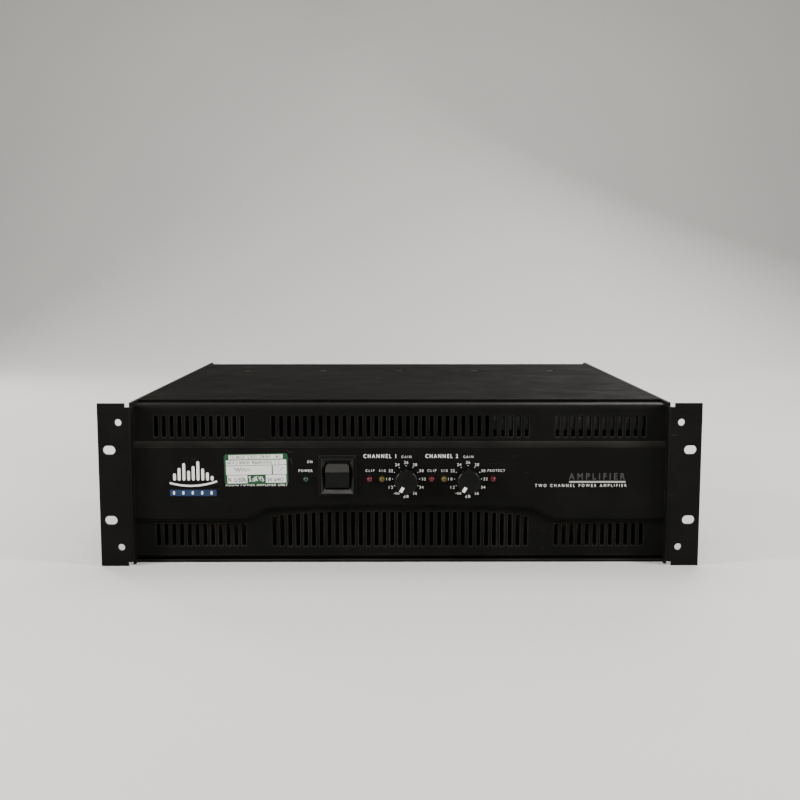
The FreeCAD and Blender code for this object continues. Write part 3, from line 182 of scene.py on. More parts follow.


def coated(name, colour, roughness, grain=1400.0, depth=0.00003, dust=0.5, scuffs=0.5,
           specular=0.5, painted_shade_top=None):
    """Black powder coat or satin plastic: grain, dust on level faces, scuffs and rubbed edges; the rubbed
    edges also paint a highlight along sharp edges.

    Given a top height, the dust film is cut back above it, as painted shade on the top return, and below the
    ledge, so that the ledge keeps a painted highlight.
    """
    s = Shader(name, colour, roughness, specular=specular)
    cloudy = s.noise(9.0, 6.0)
    patches = s.noise(38.0, 5.0)
    fine = s.noise(grain, 2.0)
    dust_sheen_and_shade = s.math("MULTIPLY", s.facing_up(), s.span(cloudy, 0.35, 0.75, 0.25, 1.0))
    # On the fascia: less film above the top, as painted shade on the top return, and less below the ledge,
    # leaving a painted highlight on the ledge.
    if painted_shade_top is not None:
        height = s.node("ShaderNodeSeparateXYZ")
        s.feed(height.inputs[0], s.place)
        for start, full, least in ((painted_shade_top, painted_shade_top - TOP_SHADE_FADE, 0.12),
                                   (LEDGE_SHEEN_START, LEDGE_SHEEN_FULL, 0.25)):
            share = s.span(height.outputs["Z"], start, full, least, 1.0)
            dust_sheen_and_shade = s.math("MULTIPLY", dust_sheen_and_shade, share)
    specks = s.span(s.speckle(420.0), 0.10, 0.02)
    specks = s.math("MULTIPLY", specks, s.span(s.noise(55.0, 3.0), 0.56, 0.70))
    streaks = s.noise(1.0, 3.0, s.scaled((55.0, 55.0, 900.0), (0.0, 0.5, 0.2)))
    streaks = s.span(streaks, 0.66, 0.78)
    streaks = s.math("MULTIPLY", streaks, s.span(s.noise(16.0, 2.0), 0.54, 0.66))
    # Rubbed edges: wear, and painted highlight along sharp edges such as the ledge's top.
    rubbed = s.math("MULTIPLY", s.edges(0.0009, 0.08), s.span(patches, 0.30, 0.62, 0.15, 1.0))
    veil = s.math("MULTIPLY", s.span(patches, 0.45, 0.85), 0.07 * dust)
    # The film of dust on level faces, with the fascia's painted ledge highlight and top shade in it.
    dust_sheen_and_shade_film = s.math("MULTIPLY", dust_sheen_and_shade, dust)
    wear_and_highlight = s.math("MULTIPLY", s.math("MAXIMUM", streaks, rubbed), scuffs)
    shade = s.blend(s.math("ADD", dust_sheen_and_shade_film, veil), rgba(colour), rgba(DUST_AND_SHEEN))
    shade = s.blend(s.math("MULTIPLY", wear_and_highlight, 0.55), shade, rgba(RUBBED_AND_HIGHLIGHT))
    shade = s.blend(s.math("MULTIPLY", specks, 0.75 * dust), shade, rgba(SPECK))
    s.link(shade, "Base Color")
    rough = s.span(patches, 0.3, 0.8, roughness - 0.07, roughness + 0.09)
    s.link(s.math("ADD", rough, s.math("MULTIPLY", s.math("ADD", dust_sheen_and_shade_film, wear_and_highlight), 0.35)), "Roughness")
    s.bump(fine, depth)
    return s.material


def bare_metal(name, colour, roughness, brush=(30.0, 30.0, 1500.0)):
    """Plated, brushed or cast metal with a fine directional grain and faint tarnish."""
    s = Shader(name, colour, roughness, metallic=1.0)
    lines = s.noise(1.0, 3.0, s.scaled(brush))
    tarnish = s.noise(70.0, 4.0)
    dull = s.span(tarnish, 0.35, 0.75, 0.0, 0.5)
    s.link(s.blend(dull, rgba(colour), rgba(colour, 0.55)), "Base Color")
    s.link(s.span(tarnish, 0.3, 0.8, roughness - 0.06, roughness + 0.16), "Roughness")
    s.bump(lines, 0.00002)
    return s.material


def moulded(name, colour, roughness, grain=2200.0, depth=0.00002, specular=0.5, mottle=0.35,
            dust_sheen_and_shade_film=0.0, rub=0.12):
    """Moulded plastic or rubber: fine spark-eroded grain and slight colour and gloss variation."""
    s = Shader(name, colour, roughness, specular=specular)
    patches = s.noise(120.0, 4.0)
    worn = s.math("MULTIPLY", s.edges(0.0004), s.span(patches, 0.3, 0.7, 0.6, 1.0))
    shade = s.blend(s.span(patches, 0.35, 0.75, 0.0, mottle), rgba(colour), rgba(colour, 0.55))
    shade = s.blend(s.math("MULTIPLY", worn, rub), shade, rgba(DUST_AND_SHEEN))
    # On the rocker, a painted highlight on its upward faces, from light above.
    if dust_sheen_and_shade_film:
        shade = s.blend(s.math("MULTIPLY", s.facing_up(0.25, 0.6), dust_sheen_and_shade_film), shade, rgba(DUST_AND_SHEEN))
    s.link(shade, "Base Color")
    s.link(s.span(patches, 0.3, 0.8, roughness - 0.05, roughness + 0.08), "Roughness")
    s.bump(s.noise(grain, 2.0), depth)
    return s.material


def lamp_lens(name, colour):
    """A clear tinted lens, unlit: glossy, with swirls of darker tint."""
    s = Shader(name, colour, 0.12, specular=0.40)
    s.set("Coat Weight", 0.15)
    s.set("Coat Roughness", 0.04)
    swirl = s.noise(500.0, 3.0)
    s.link(s.blend(s.span(swirl, 0.35, 0.75), rgba(colour), rgba(colour, 0.45)), "Base Color")
    s.bump(s.noise(900.0, 2.0), 0.00001)
    return s.material


def printed(name, colour, roughness=0.5):
    """Screen-printed ink: slightly uneven, with tiny gaps where it has rubbed off."""
    s = Shader(name, colour, roughness, specular=0.35)
    worn = s.span(s.noise(700.0, 4.0), 0.62, 0.80)
    s.link(s.blend(s.math("MULTIPLY", worn, 0.6), rgba(colour), rgba(colour, 0.45)), "Base Color")
    s.bump(s.noise(1800.0, 2.0), 0.00001)
    return s.material


def circuit_board(name):
    """Green solder resist over a regular pattern of copper tracks."""
    s = Shader(name, (0.012, 0.075, 0.03), 0.38)
    tracks = s.node("ShaderNodeTexBrick")
    s.feed(tracks.inputs["Vector"], s.place)
    tracks.inputs["Scale"].default_value = 160.0
    tracks.inputs["Color1"].default_value = (0.012, 0.085, 0.034, 1.0)
    tracks.inputs["Color2"].default_value = (0.010, 0.060, 0.024, 1.0)
    tracks.inputs["Mortar"].default_value = (0.03, 0.16, 0.07, 1.0)
    s.link(tracks.outputs["Color"], "Base Color")
    s.bump(s.noise(800.0, 3.0), 0.00003)
    return s.material


def wound_tape(name):
    """Amber tape wound over the transformer's copper."""
    s = Shader(name, (0.30, 0.16, 0.03), 0.30)
    wave = s.node("ShaderNodeTexWave")
    s.feed(wave.inputs["Vector"], s.place)
    wave.inputs["Scale"].default_value = 90.0
    wave.inputs["Distortion"].default_value = 2.5
    # The wave paints lit ridges and shaded grooves between the turns of tape.
    lit, groove_shade = rgba((0.32, 0.17, 0.035)), rgba((0.16, 0.07, 0.012))
    s.link(s.blend(wave.outputs["Fac"], lit, groove_shade), "Base Color")
    s.bump(wave.outputs["Fac"], 0.0003)
    return s.material


# ---------------------------------------------------------------- finishes of the CAD nodes
BLACK = (0.0050, 0.0049, 0.0047)
STEEL = (0.52, 0.52, 0.53)

finishes = {
    "coat": coated("black_powder_coat", BLACK, 0.55, grain=1500.0, depth=0.00005, dust=0.30,
                   scuffs=0.6, specular=0.05),
    "cover": coated("cover_powder_coat", (0.0042, 0.0041, 0.0039), 0.60, grain=1500.0,
                    depth=0.00005, dust=0.035, scuffs=0.4, specular=0.005),
    # The fascia's film holds painted shade at its top and a painted highlight on its ledge.
    "fascia": coated("fascia_satin_black", (0.0062, 0.0062, 0.0060), 0.42, grain=2400.0,
                     depth=0.00002, dust=0.32, scuffs=0.5, specular=0.012, painted_shade_top=0.060),
    # Near-black finish for the subpanel behind the vents: painted shade for the dark inside.
    "painted_shade_black": coated("painted_shade_black", (0.0015, 0.0015, 0.0015), 0.9, dust=0.05, scuffs=0.05,
                          specular=0.03),
    "anodised": coated("black_anodised_sink", (0.010, 0.010, 0.011), 0.5, dust=0.2, scuffs=0.2,
                       specular=0.2),
    "black_screw": bare_metal("black_zinc", (0.035, 0.034, 0.033), 0.38),
    "zinc": bare_metal("zinc_plate", (0.45, 0.44, 0.41), 0.34),
    "steel": bare_metal("plain_steel", STEEL, 0.40),
    "chrome": bare_metal("bright_plated_wire", (0.62, 0.62, 0.63), 0.16, brush=(900.0, 900.0, 900.0)),
    "aluminium": bare_metal("extruded_aluminium", (0.60, 0.60, 0.61), 0.38, brush=(900.0, 20.0, 900.0)),
    "brass": bare_metal("gilt_brass", (0.75, 0.52, 0.20), 0.25),
    "switch": moulded("switch_plastic", (0.0038, 0.0038, 0.0040), 0.30, depth=0.000004, specular=0.18,
                      rub=0.45),
    # The rocker's film is a painted highlight on its upward faces.
    "rocker": moulded("rocker_plastic", (0.0036, 0.0036, 0.0038), 0.30, depth=0.000004, specular=0.12,
                      dust_sheen_and_shade_film=0.16),
    "knob": moulded("knob_plastic", (0.0040, 0.0040, 0.0041), 0.22, depth=0.000004, specular=0.09, rub=0.35),
    "connector": moulded("connector_plastic", (0.016, 0.016, 0.017), 0.42),
    "package": moulded("epoxy_package", (0.014, 0.014, 0.014), 0.5),
    "fan": moulded("fan_plastic", (0.013, 0.013, 0.013), 0.38),
    "rubber": moulded("black_rubber", (0.012, 0.012, 0.012), 0.75, depth=0.00005),
    "sleeve": moulded("capacitor_sleeve", (0.010, 0.016, 0.060), 0.25),
    "ribbon": moulded("ribbon_cable", (0.30, 0.30, 0.31), 0.5),
    "red_cap": moulded("red_post_cap", (0.28, 0.010, 0.010), 0.32),
    "black_cap": moulded("black_post_cap", (0.012, 0.012, 0.012), 0.32),
    "pale": moulded("pale_button", (0.60, 0.59, 0.55), 0.42),
    "green_lens": lamp_lens("green_lens", (0.001, 0.024, 0.010)),
    "red_lens": lamp_lens("red_lens", (0.090, 0.002, 0.005)),
    "yellow_lens": lamp_lens("yellow_lens", (0.095, 0.072, 0.003)),
    "white_ink": printed("white_ink", (0.90, 0.90, 0.87)),
    "grey_ink": printed("dark_grey_ink", (0.040, 0.040, 0.038)),
    "pale_grey_ink": printed("pale_grey_ink", (0.42, 0.42, 0.41)),
    "scuff_grey": printed("scuff_grey", (0.035, 0.034, 0.031), 0.8),
    "pointer": printed("pointer_cream", (0.90, 0.89, 0.82), 0.4),
    "badge_white": printed("badge_white", (0.80, 0.80, 0.78), 0.35),
    "blue_ink": printed("badge_blue", (0.006, 0.024, 0.075), 0.45),
    "white_paper": printed("sticker_white", (0.70, 0.71, 0.68), 0.45),
    "green_paper": printed("sticker_green", (0.006, 0.058, 0.018), 0.5),
    "grey_print": printed("sticker_print", (0.055, 0.060, 0.058), 0.6),
    "pen_ink": printed("sticker_pen", (0.015, 0.016, 0.018), 0.5),
    "board": circuit_board("circuit_board"),
    "tape": wound_tape("winding_tape"),
}

NODE_FINISH = {
    "base_plate": "coat", "side_panel_left": "coat", "side_panel_right": "coat",
    "top_cover": "cover", "top_cover_brace": "coat", "rear_panel": "coat",
    "front_fascia": "fascia", "front_subpanel": "painted_shade_black", "top_cover_screws": "coat",
    "side_panel_screws": "black_screw", "rear_panel_screws": "black_screw",
    "fascia_screws": "zinc", "power_switch_body": "switch", "power_rocker": "rocker",
    "power_lamp": "green_lens", "protect_lamp": "red_lens", "clip_lamps": "red_lens",
    "signal_lamps": "yellow_lens", "control_board": "board", "gain_pots": "steel",
    "gain_pot_nuts": "zinc", "gain_knob_1": "knob", "gain_knob_2": "knob",
    "gain_shaft_1": "aluminium", "gain_shaft_2": "aluminium", "gain_pointer_1": "pointer",
    "gain_pointer_2": "pointer", "mains_transformers": "tape", "transformer_pads": "rubber",
    "transformer_clamps": "steel", "transformer_bolts": "zinc",
    "reservoir_capacitors": "sleeve", "supply_boards": "board", "heatsink_1": "anodised",
    "heatsink_2": "anodised", "amplifier_boards": "board", "output_transistors": "package",
    "fan_frame": "fan", "fan_rotor": "fan", "fan_guard": "chrome", "input_sockets": "connector",
    "input_latch_1": "zinc", "input_latch_2": "zinc", "jack_sockets": "connector",
    "jack_nuts": "zinc", "speaker_sockets": "connector", "socket_screws": "black_screw",
    "binding_posts": "brass", "binding_cap_1": "red_cap", "binding_cap_2": "black_cap",
    "binding_cap_3": "red_cap", "binding_cap_4": "black_cap", "mains_inlet": "connector",
    "breaker_body": "connector", "breaker_button": "pale", "mode_switch_body": "zinc",
    "mode_slider": "pale", "input_board": "board", "wiring_looms": "rubber",
    "control_ribbon": "ribbon",
}


def paint(obj, key):
    """Gives a CAD node its one finish."""
    obj.data.materials.clear()
    obj.data.materials.append(finishes[key])


# Width in mm of the rounding on a node's sharp edges.
SOFT_EDGES = {
    "front_fascia": 0.25, "side_panel_left": 0.25, "side_panel_right": 0.25, "top_cover": 0.3,
    "rear_panel": 0.2, "power_switch_body": 0.35, "power_rocker": 0.45, "gain_knob_1": 0.25,
    "gain_knob_2": 0.25, "mains_inlet": 0.3, "input_sockets": 0.25, "speaker_sockets": 0.3,
    "fan_frame": 0.4, "breaker_body": 0.25, "top_cover_screws": 0.12, "rear_panel_screws": 0.12,
    "side_panel_screws": 0.1, "jack_nuts": 0.2, "input_latch_1": 0.2, "input_latch_2": 0.2,
    "mode_slider": 0.1, "gain_pointer_1": 0.08, "gain_pointer_2": 0.08,
}


WELD_GAP = 0.005 * MM
SHARP_ANGLE = math.radians(38)


def soften(obj, width):
    """Rounds the sharp edges of a CAD node with modifiers, so that they catch the light."""
    weld = obj.modifiers.new("weld", "WELD")
    weld.merge_threshold = WELD_GAP
    bevel = obj.modifiers.new("edge", "BEVEL")
    bevel.width = width * MM
    bevel.segments = 2
    bevel.limit_method = "ANGLE"
    bevel.angle_limit = SHARP_ANGLE
    bevel.harden_normals = False
    bevel.use_clamp_overlap = True


for name, key in NODE_FINISH.items():
    paint(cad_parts[name], key)


# ---------------------------------------------------------------- printed legends
PRINT_LIFT = 0.04 * MM                           # how far ink stands off its face
PRINT_ROOT = -0.01 * MM                          # how far its back is sunk in, so no gap shows


class Print:
    """Collects flat shapes on a face of the front or rear panel into one mesh.

    Shapes are drawn in the face's own directions, x to the viewer's right and z up, from an
    origin, which may be turned.
    """

    def __init__(self, name, key, plane=PANEL_Y, lift=PRINT_LIFT, origin=(0.0, 0.0), turn=0.0,
                 rear=False):
        self.name = name
        self.key = key
        self.plane = plane
        self.lift = lift
        self.origin = origin
        self.turn = turn
        self.side = 1.0 if rear else -1.0
        self.mesh = bmesh.new()

    def vertex(self, x, z, lift):
        c, s = math.cos(self.turn), math.sin(self.turn)
        right = x * c - z * s
        up = x * s + z * c
        return self.mesh.verts.new((self.origin[0] - self.side * right,
                                    self.plane + self.side * lift, self.origin[1] + up))

    def add(self, outline):
        """A filled outline of (x, z) points, anticlockwise as seen by the viewer."""
        front = [self.vertex(x, z, self.lift) for x, z in outline]
        back = [self.vertex(x, z, PRINT_ROOT) for x, z in outline]
        self.mesh.faces.new(front)
        self.mesh.faces.new(back[::-1])
        for i in range(len(front)):
            j = (i + 1) % len(front)
            self.mesh.faces.new((front[j], front[i], back[i], back[j]))

    def bar(self, x0, x1, z0, z1):
        self.add([(x0, z0), (x1, z0), (x1, z1), (x0, z1)])

    def dot(self, x, z, radius, points=12):
        angles = [2 * math.pi * i / points for i in range(points)]
        self.add([(x + radius * math.cos(a), z + radius * math.sin(a)) for a in angles])

    def stroke(self, points, width):
        """A line of even width through the points, as joined quads."""
        for (ax, az), (bx, bz) in zip(points, points[1:]):
            dx, dz = bx - ax, bz - az
            length = math.hypot(dx, dz)
            nx, nz = -dz / length * width / 2, dx / length * width / 2
            self.add([(ax - nx, az - nz), (bx - nx, bz - nz), (bx + nx, bz + nz), (ax + nx, az + nz)])

    def rounded(self, x0, x1, z0, z1, radius):
        """A rectangle with rounded corners."""
        outline = []
        for cx, cz, start in ((x1 - radius, z0 + radius, -90), (x1 - radius, z1 - radius, 0),
                              (x0 + radius, z1 - radius, 90), (x0 + radius, z0 + radius, 180)):
            for i in range(7):
                a = math.radians(start + 15 * i)
                outline.append((cx + radius * math.cos(a), cz + radius * math.sin(a)))
        self.add(outline)

    def scribble(self, x0, x1, z, height, seed, weight=0.16):
        """A row of short strokes that stands for small print, and spells nothing."""
        rng = random.Random(seed)
        x = x0
        while x < x1 - 0.6 * height:
            if rng.random() < 0.16:
                x += 0.7 * height
                continue
            wide = height * rng.uniform(0.34, 0.52)
            left, right = x, x + wide
            low_z, high_z = z - height / 2, z + height / 2
            marks = [((left, low_z), (left, high_z)), ((right, low_z), (right, high_z)),
                     ((left, high_z), (right, high_z)), ((left, low_z), (right, low_z)),
                     ((left, z), (right, z)), ((left, high_z), (right, low_z))]
            for start, end in rng.sample(marks, 3):
                self.stroke([start, end], height * weight)
            x = right + 0.28 * height

    def text(self, words, centre, height, width=None, weight=-0.003, squeeze=0.84):
        """Plain lettering of a cap height, spaced out to fill the width if one is given."""
        curve = bpy.data.curves.new("lettering", "FONT")
        curve.body = words
        curve.size = 1.0
        curve.offset = weight
        curve.resolution_u = 3
        holder = bpy.data.objects.new("lettering", curve)
        bpy.context.scene.collection.objects.link(holder)

        def outline(spacing):
            curve.space_character = spacing
            graph = bpy.context.evaluated_depsgraph_get()
            flat = bpy.data.meshes.new_from_object(holder.evaluated_get(graph))
            points = [v.co.copy() for v in flat.vertices]
            faces = [list(polygon.vertices) for polygon in flat.polygons]
            bpy.data.meshes.remove(flat)
            return points, faces

        def across(points):
            return max(p.x for p in points) - min(p.x for p in points)

        points, faces = outline(1.0)
        scale = height / (max(p.y for p in points) - min(p.y for p in points))
        if width:
            tight, loose = across(points), across(outline(2.0)[0])
            points, faces = outline(1.0 + (width / (scale * squeeze) - tight) / (loose - tight))
        middle_x = (max(p.x for p in points) + min(p.x for p in points)) / 2
        middle_y = (max(p.y for p in points) + min(p.y for p in points)) / 2
        shift_x = centre[0] - middle_x * scale * squeeze
        shift_z = centre[1] - middle_y * scale
        verts = [self.vertex(p.x * scale * squeeze + shift_x, p.y * scale + shift_z, self.lift)
                 for p in points]
        for face in faces:
            self.mesh.faces.new([verts[i] for i in face])
        bpy.data.objects.remove(holder)
        bpy.data.curves.remove(curve)

    def finish(self, body="chassis"):
        data = bpy.data.meshes.new(self.name)
        self.mesh.to_mesh(data)
        self.mesh.free()
        piece = bpy.data.objects.new(self.name, data)
        bpy.context.scene.collection.objects.link(piece)
        piece.data.materials.append(finishes[self.key])
        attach(piece, body)
        return piece


DIAL_DOTS = 10.9 * MM                            # radius of the ring of dots
DIAL_NUMBERS = 13.6 * MM                         # radius of the ring of numbers
DIAL_SPREAD = 1.05                               # the ring of numbers is this much wider than tall
DIAL = ("", "12", "18", "22", "24", "26", "28", "30", "32", "34", "36")
DIAL_START = -150.0                              # degrees clockwise from the top
DIAL_STEP = 30.0


def dial(ink, knob):
    """Scale dots and gain numbers round a knob, from the fully closed mark to the top."""
    for i, number in enumerate(DIAL):
        a = math.radians(DIAL_START + DIAL_STEP * i)
        ink.dot(knob.x + DIAL_DOTS * math.sin(a), knob.z + DIAL_DOTS * math.cos(a), 0.34 * MM)
        at = (knob.x + DIAL_NUMBERS * math.sin(a) * DIAL_SPREAD, knob.z + DIAL_NUMBERS * math.cos(a))
        if number:
            ink.text(number, at, 2.3 * MM, 3.3 * MM, 0.0, 0.98)
        else:
            closed_mark(ink, at)
    ink.text("dB", (knob.x, knob.z - 14.3 * MM), 2.3 * MM, 4.0 * MM, 0.0, 0.95)


def closed_mark(ink, at):
    """Minus infinity, drawn as a dash and a lying figure of eight."""
    x, z = at
    ink.bar(x - 2.9 * MM, x - 1.8 * MM, z - 0.15 * MM, z + 0.15 * MM)
    loop = []
    for i in range(25):
        t = 2 * math.pi * i / 24
        loop.append((x + 0.1 * MM + 1.55 * MM * math.sin(t), z + 0.75 * MM * math.sin(2 * t)))
    ink.stroke(loop, 0.32 * MM)


def front_legends():
    ink = Print("front_legends", "white_ink")
    channels = zip(KNOBS, pair("clip_lamps"), pair("signal_lamps"))
    for number, (knob, clip, signal) in enumerate(channels, 1):
        dial(ink, knob)
        ink.text("GAIN", (knob.x + 0.2 * MM, knob.z + 18.2 * MM), 2.0 * MM, 8.0 * MM)
        ink.text("CHANNEL %d" % number, (clip + 8.2 * MM, LAMP_Z + 18.8 * MM), 3.2 * MM, 26.3 * MM,
                 0.014, 0.84)
        ink.text("CLIP", (clip + 0.3 * MM, LAMP_Z + 6.9 * MM), 2.0 * MM, 7.0 * MM)
        ink.text("SIG", (signal + 0.2 * MM, LAMP_Z + 6.9 * MM), 2.0 * MM, 5.2 * MM)
    ink.text("PROTECT", (PROTECT_LAMP.x + 2.6 * MM, LAMP_Z + 6.9 * MM), 2.0 * MM, 14.0 * MM)
    ink.text("POWER", (POWER_LAMP.x - 0.3 * MM, LAMP_Z + 6.9 * MM), 2.1 * MM, 11.2 * MM, 0.0, 0.90)
    ink.text("ON", (POWER_LAMP.x + 3.1 * MM, LAMP_Z + 14.2 * MM), 2.1 * MM, 4.2 * MM)
    ink.text("TWO CHANNEL POWER AMPLIFIER", (146.4 * MM, LAMP_Z - 5.4 * MM), 2.35 * MM, 74.2 * MM,
             0.0, 0.88)
    ink.text("AUDIO POWER AMPLIFIER UNIT", (-116.0 * MM, -0.7 * MM), 2.5 * MM, 50.0 * MM, 0.004)
    ink.finish()
    name = Print("front_name", "grey_ink")
    name.text("AMPLIFIER", (159.4 * MM, 5.8 * MM), 5.3 * MM, 45.6 * MM, 0.02, 0.9)
    name.finish()
    rule = Print("front_name_rule", "pale_grey_ink")
    rule.bar(136.9 * MM, 182.6 * MM, 0.6 * MM, 1.9 * MM)
    rule.finish()


def front_badge():
    """A row of level bars over a curved line, with a plain blue bar below."""
    ink = Print("badge_bars", "badge_white", lift=0.10 * MM, origin=(-167.0 * MM, 0.0))
    heights = (6.5, 11.5, 15.8, 9.0, 13.2, 17.6, 11.0, 7.4, 4.2)
    for i, tall in enumerate(heights):
        x = (-15.2 + 3.8 * i) * MM
        ink.rounded(x - 1.15 * MM, x + 1.15 * MM, 2.6 * MM, (2.6 + tall * 0.9) * MM, 1.1 * MM)
    sweep = [(x * MM, (-1.7 + 3.0 * (x / 19.0) ** 2 + 0.035 * x) * MM) for x in range(-19, 20, 2)]
    ink.stroke(sweep, 1.5 * MM)
    ink.finish()
    blue = Print("badge_blue_bar", "blue_ink", lift=0.06 * MM, origin=(-167.3 * MM, -7.5 * MM))
    blue.bar(-18.85 * MM, 18.85 * MM, -2.55 * MM, 2.55 * MM)
    blue.finish()
    marks = Print("badge_marks", "badge_white", lift=0.11 * MM, origin=(-167.3 * MM, -7.5 * MM))
    for i in range(5):
        x = -15.6 + 7.6 * i
        marks.rounded((x - 0.8) * MM, (x + 0.8) * MM, -1.45 * MM, 1.45 * MM, 0.7 * MM)
    marks.finish()


def test_sticker():
    """The inspection sticker: a green border and blocks, white rows, and strokes in place of words."""
    place = {"origin": (-116.2 * MM, 12.0 * MM), "turn": math.radians(1.1)}
    border = Print("sticker_border", "green_paper", lift=0.10 * MM, **place)
    border.rounded(-25.7 * MM, 25.7 * MM, -12.5 * MM, 12.5 * MM, 2.2 * MM)
    border.finish()
    rows = Print("sticker_rows", "white_paper", lift=0.125 * MM, **place)
    for x0, x1, z0, z1 in ((-21.9, 21.7, 8.1, 11.7), (-24.2, 24.4, 3.3, 7.4), (-24.2, 12.6, -4.5, 2.9),
                           (13.5, 24.4, -4.5, 2.9), (-23.4, -7.3, -11.4, -4.9), (7.6, 24.0, -11.4, -4.9)):
        rows.bar(x0 * MM, x1 * MM, z0 * MM, z1 * MM)
    rows.finish()
    print_marks = Print("sticker_print", "grey_print", lift=0.14 * MM, **place)
    print_marks.scribble(-20.4 * MM, 20.6 * MM, 9.9 * MM, 2.2 * MM, 3)
    print_marks.scribble(-23.0 * MM, 20.8 * MM, 5.3 * MM, 2.0 * MM, 5)
    print_marks.scribble(-22.4 * MM, -8.2 * MM, -8.3 * MM, 3.3 * MM, 8)
    print_marks.scribble(8.9 * MM, 23.4 * MM, -8.9 * MM, 2.7 * MM, 11)
    print_marks.finish()
    pen = Print("sticker_pen", "pen_ink", lift=0.14 * MM, **place)
    for loop in (((-17.6, 0.4), (-16.6, 1.5), (-15.9, -1.6), (-14.4, 1.2), (-13.9, -1.9), (-12.2, 1.4)),
                 ((-12.2, 1.4), (-11.4, -1.4), (-9.9, 0.9), (-8.8, -1.8), (-6.8, 0.5), (-4.4, -0.9)),
                 ((19.2, -1.6), (20.1, -0.2), (21.9, 0.8))):
        pen.stroke([(x * MM, z * MM) for x, z in loop], 0.42 * MM)
    pen.finish()
    stamp = Print("sticker_stamp", "white_paper", lift=0.14 * MM, **place)
    stamp.scribble(-6.1 * MM, 6.9 * MM, -8.0 * MM, 3.6 * MM, 21, weight=0.2)
    stamp.finish()


REAR_Y = PANEL_Y + 373.0 * MM                    # outer face of the rear panel


def rear_legends():
    """Channel numbers and pole marks beside the rear sockets."""
    ink = Print("rear_legends", "white_ink", plane=REAR_Y, rear=True)
    for number, post, jack in ((1, 28.0, 27.0), (2, -28.0, -27.0)):
        for x in (-92.0, 118.0, 164.0):
            ink.text("%d" % number, (-x * MM, (jack + 21.0) * MM), 3.2 * MM)
        for x, mark in ((-128.0, "+"), (-147.0, "-")):
            ink.bar((-x - 1.6) * MM, (-x + 1.6) * MM, (post + 13.7) * MM, (post + 14.3) * MM)
            if mark == "+":
                ink.bar((-x - 0.3) * MM, (-x + 0.3) * MM, (post + 12.4) * MM, (post + 15.6) * MM)
    ink.finish()


def scuffs():
    """The faint curved rub marks to the right of the sticker."""
    marks = Print("front_scuffs", "scuff_grey", lift=0.02 * MM)
    for line in (((-90.6, 19.4), (-89.6, 20.6), (-88.4, 20.4), (-87.5, 18.2), (-87.2, 15.9)),
                 ((-91.4, 27.6), (-90.2, 26.3), (-88.4, 25.6), (-86.8, 26.1)),
                 ((-95.0, 23.8), (-93.4, 24.6), (-91.8, 24.9))):
        marks.stroke([(x * MM, z * MM) for x, z in line], 0.28 * MM)
    marks.finish()


front_legends()
front_badge()
scuffs()
test_sticker()
rear_legends()


# ---------------------------------------------------------------- studio
FLOOR_Z = low("base_plate").z


CURVE_STEPS = 12


def studio():
    """A pale paper floor that curves up into a backdrop."""
    floor = bpy.data.meshes.new("studio_floor")
    near, depth, width, rise, radius = -7.0, 2.6, 14.0, 3.0, 0.9
    profile = [(near, 0.0), (depth - radius, 0.0)]
    for i in range(1, CURVE_STEPS + 1):
        a = math.pi / 2 * i / CURVE_STEPS
        profile.append((depth - radius + radius * math.sin(a), radius - radius * math.cos(a)))
    profile.append((depth, rise))
    verts = [(x, y, z + FLOOR_Z) for y, z in profile for x in (-width / 2, width / 2)]
    faces = [(2 * i, 2 * i + 1, 2 * i + 3, 2 * i + 2) for i in range(len(profile) - 1)]
    floor.from_pydata(verts, [], faces)
    for polygon in floor.polygons:
        polygon.use_smooth = True
    backdrop = bpy.data.objects.new("studio_floor", floor)
    bpy.context.scene.collection.objects.link(backdrop)
    s = Shader("studio_paper", (0.62, 0.61, 0.59), 0.75, specular=0.2)
    s.link(s.blend(s.noise(3.0, 3.0), rgba((0.60, 0.59, 0.57)), rgba((0.64, 0.63, 0.61))), "Base Color")
    s.bump(s.noise(900.0, 2.0), 0.00005)
    backdrop.data.materials.append(s.material)


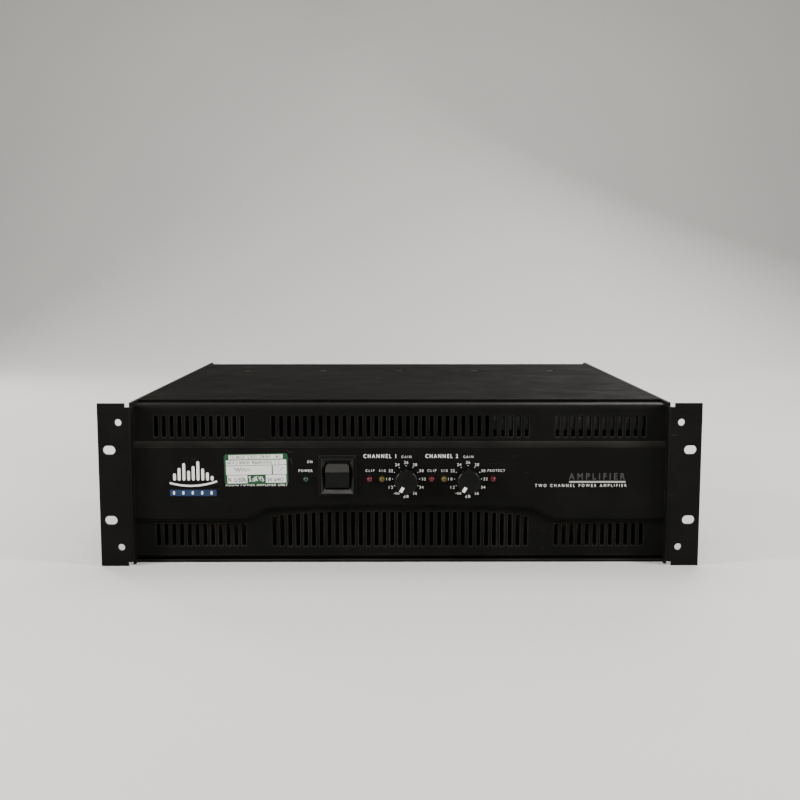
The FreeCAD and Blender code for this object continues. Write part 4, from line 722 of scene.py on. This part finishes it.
def softbox(name, place, target, size, power, colour=(1.0, 0.98, 0.95)):
    """An area light aimed at a target, which the camera doesn't see."""
    lamp = bpy.data.lights.new(name, "AREA")
    lamp.shape = "RECTANGLE"
    lamp.size, lamp.size_y = size
    lamp.energy = power
    lamp.color = colour
    holder = bpy.data.objects.new(name, lamp)
    holder.location = place
    holder.rotation_euler = (Vector(target) - Vector(place)).to_track_quat("-Z", "Y").to_euler()
    holder.visible_camera = False
    bpy.context.scene.collection.objects.link(holder)


def lighting():
    world = bpy.data.worlds.new("studio_air")
    world.use_nodes = True
    world.node_tree.nodes["Background"].inputs["Color"].default_value = (0.80, 0.82, 0.85, 1.0)
    world.node_tree.nodes["Background"].inputs["Strength"].default_value = 0.28
    bpy.context.scene.world = world
    target = (0.0, 0.05, 0.0)
    softbox("side_left", (-1.25, -0.42, 0.60), target, (0.28, 0.90), 22.0)
    softbox("side_right", (1.25, -0.42, 0.60), target, (0.28, 0.90), 22.0)
    softbox("front_high", (0.0, -1.15, 1.55), target, (1.2, 0.5), 19.0)
    softbox("overhead", (0.0, 0.75, 1.7), (0.0, 0.30, 0.0), (1.6, 1.0), 26.0)
    softbox("rear_fill", (0.9, 1.9, 1.1), (0.0, 0.30, 0.0), (1.0, 0.8), 24.0)
    softbox("rear_side", (-1.3, 1.35, 0.7), (0.0, 0.38, 0.0), (0.30, 0.9), 16.0)


CAMERA_PLACE = (-0.0041, -0.8569, 0.1687)        # fitted to the photograph's outline of the front
CAMERA_TILT = math.radians(90.0 - 6.66)          # looks down by 6.66 degrees
CAMERA_YAW = -0.0047                             # radians
LENS = 48.7                                      # mm
SENSOR = 36.0                                    # mm


def camera():
    data = bpy.data.cameras.new("photo_view")
    data.lens = LENS
    data.sensor_width = SENSOR
    data.clip_start = 0.01
    view = bpy.data.objects.new("photo_view", data)
    view.location = CAMERA_PLACE
    view.rotation_euler = (CAMERA_TILT, 0.0, CAMERA_YAW)
    bpy.context.scene.collection.objects.link(view)
    bpy.context.scene.camera = view


studio()
lighting()
camera()

for name, width in SOFT_EDGES.items():
    soften(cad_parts[name], width)
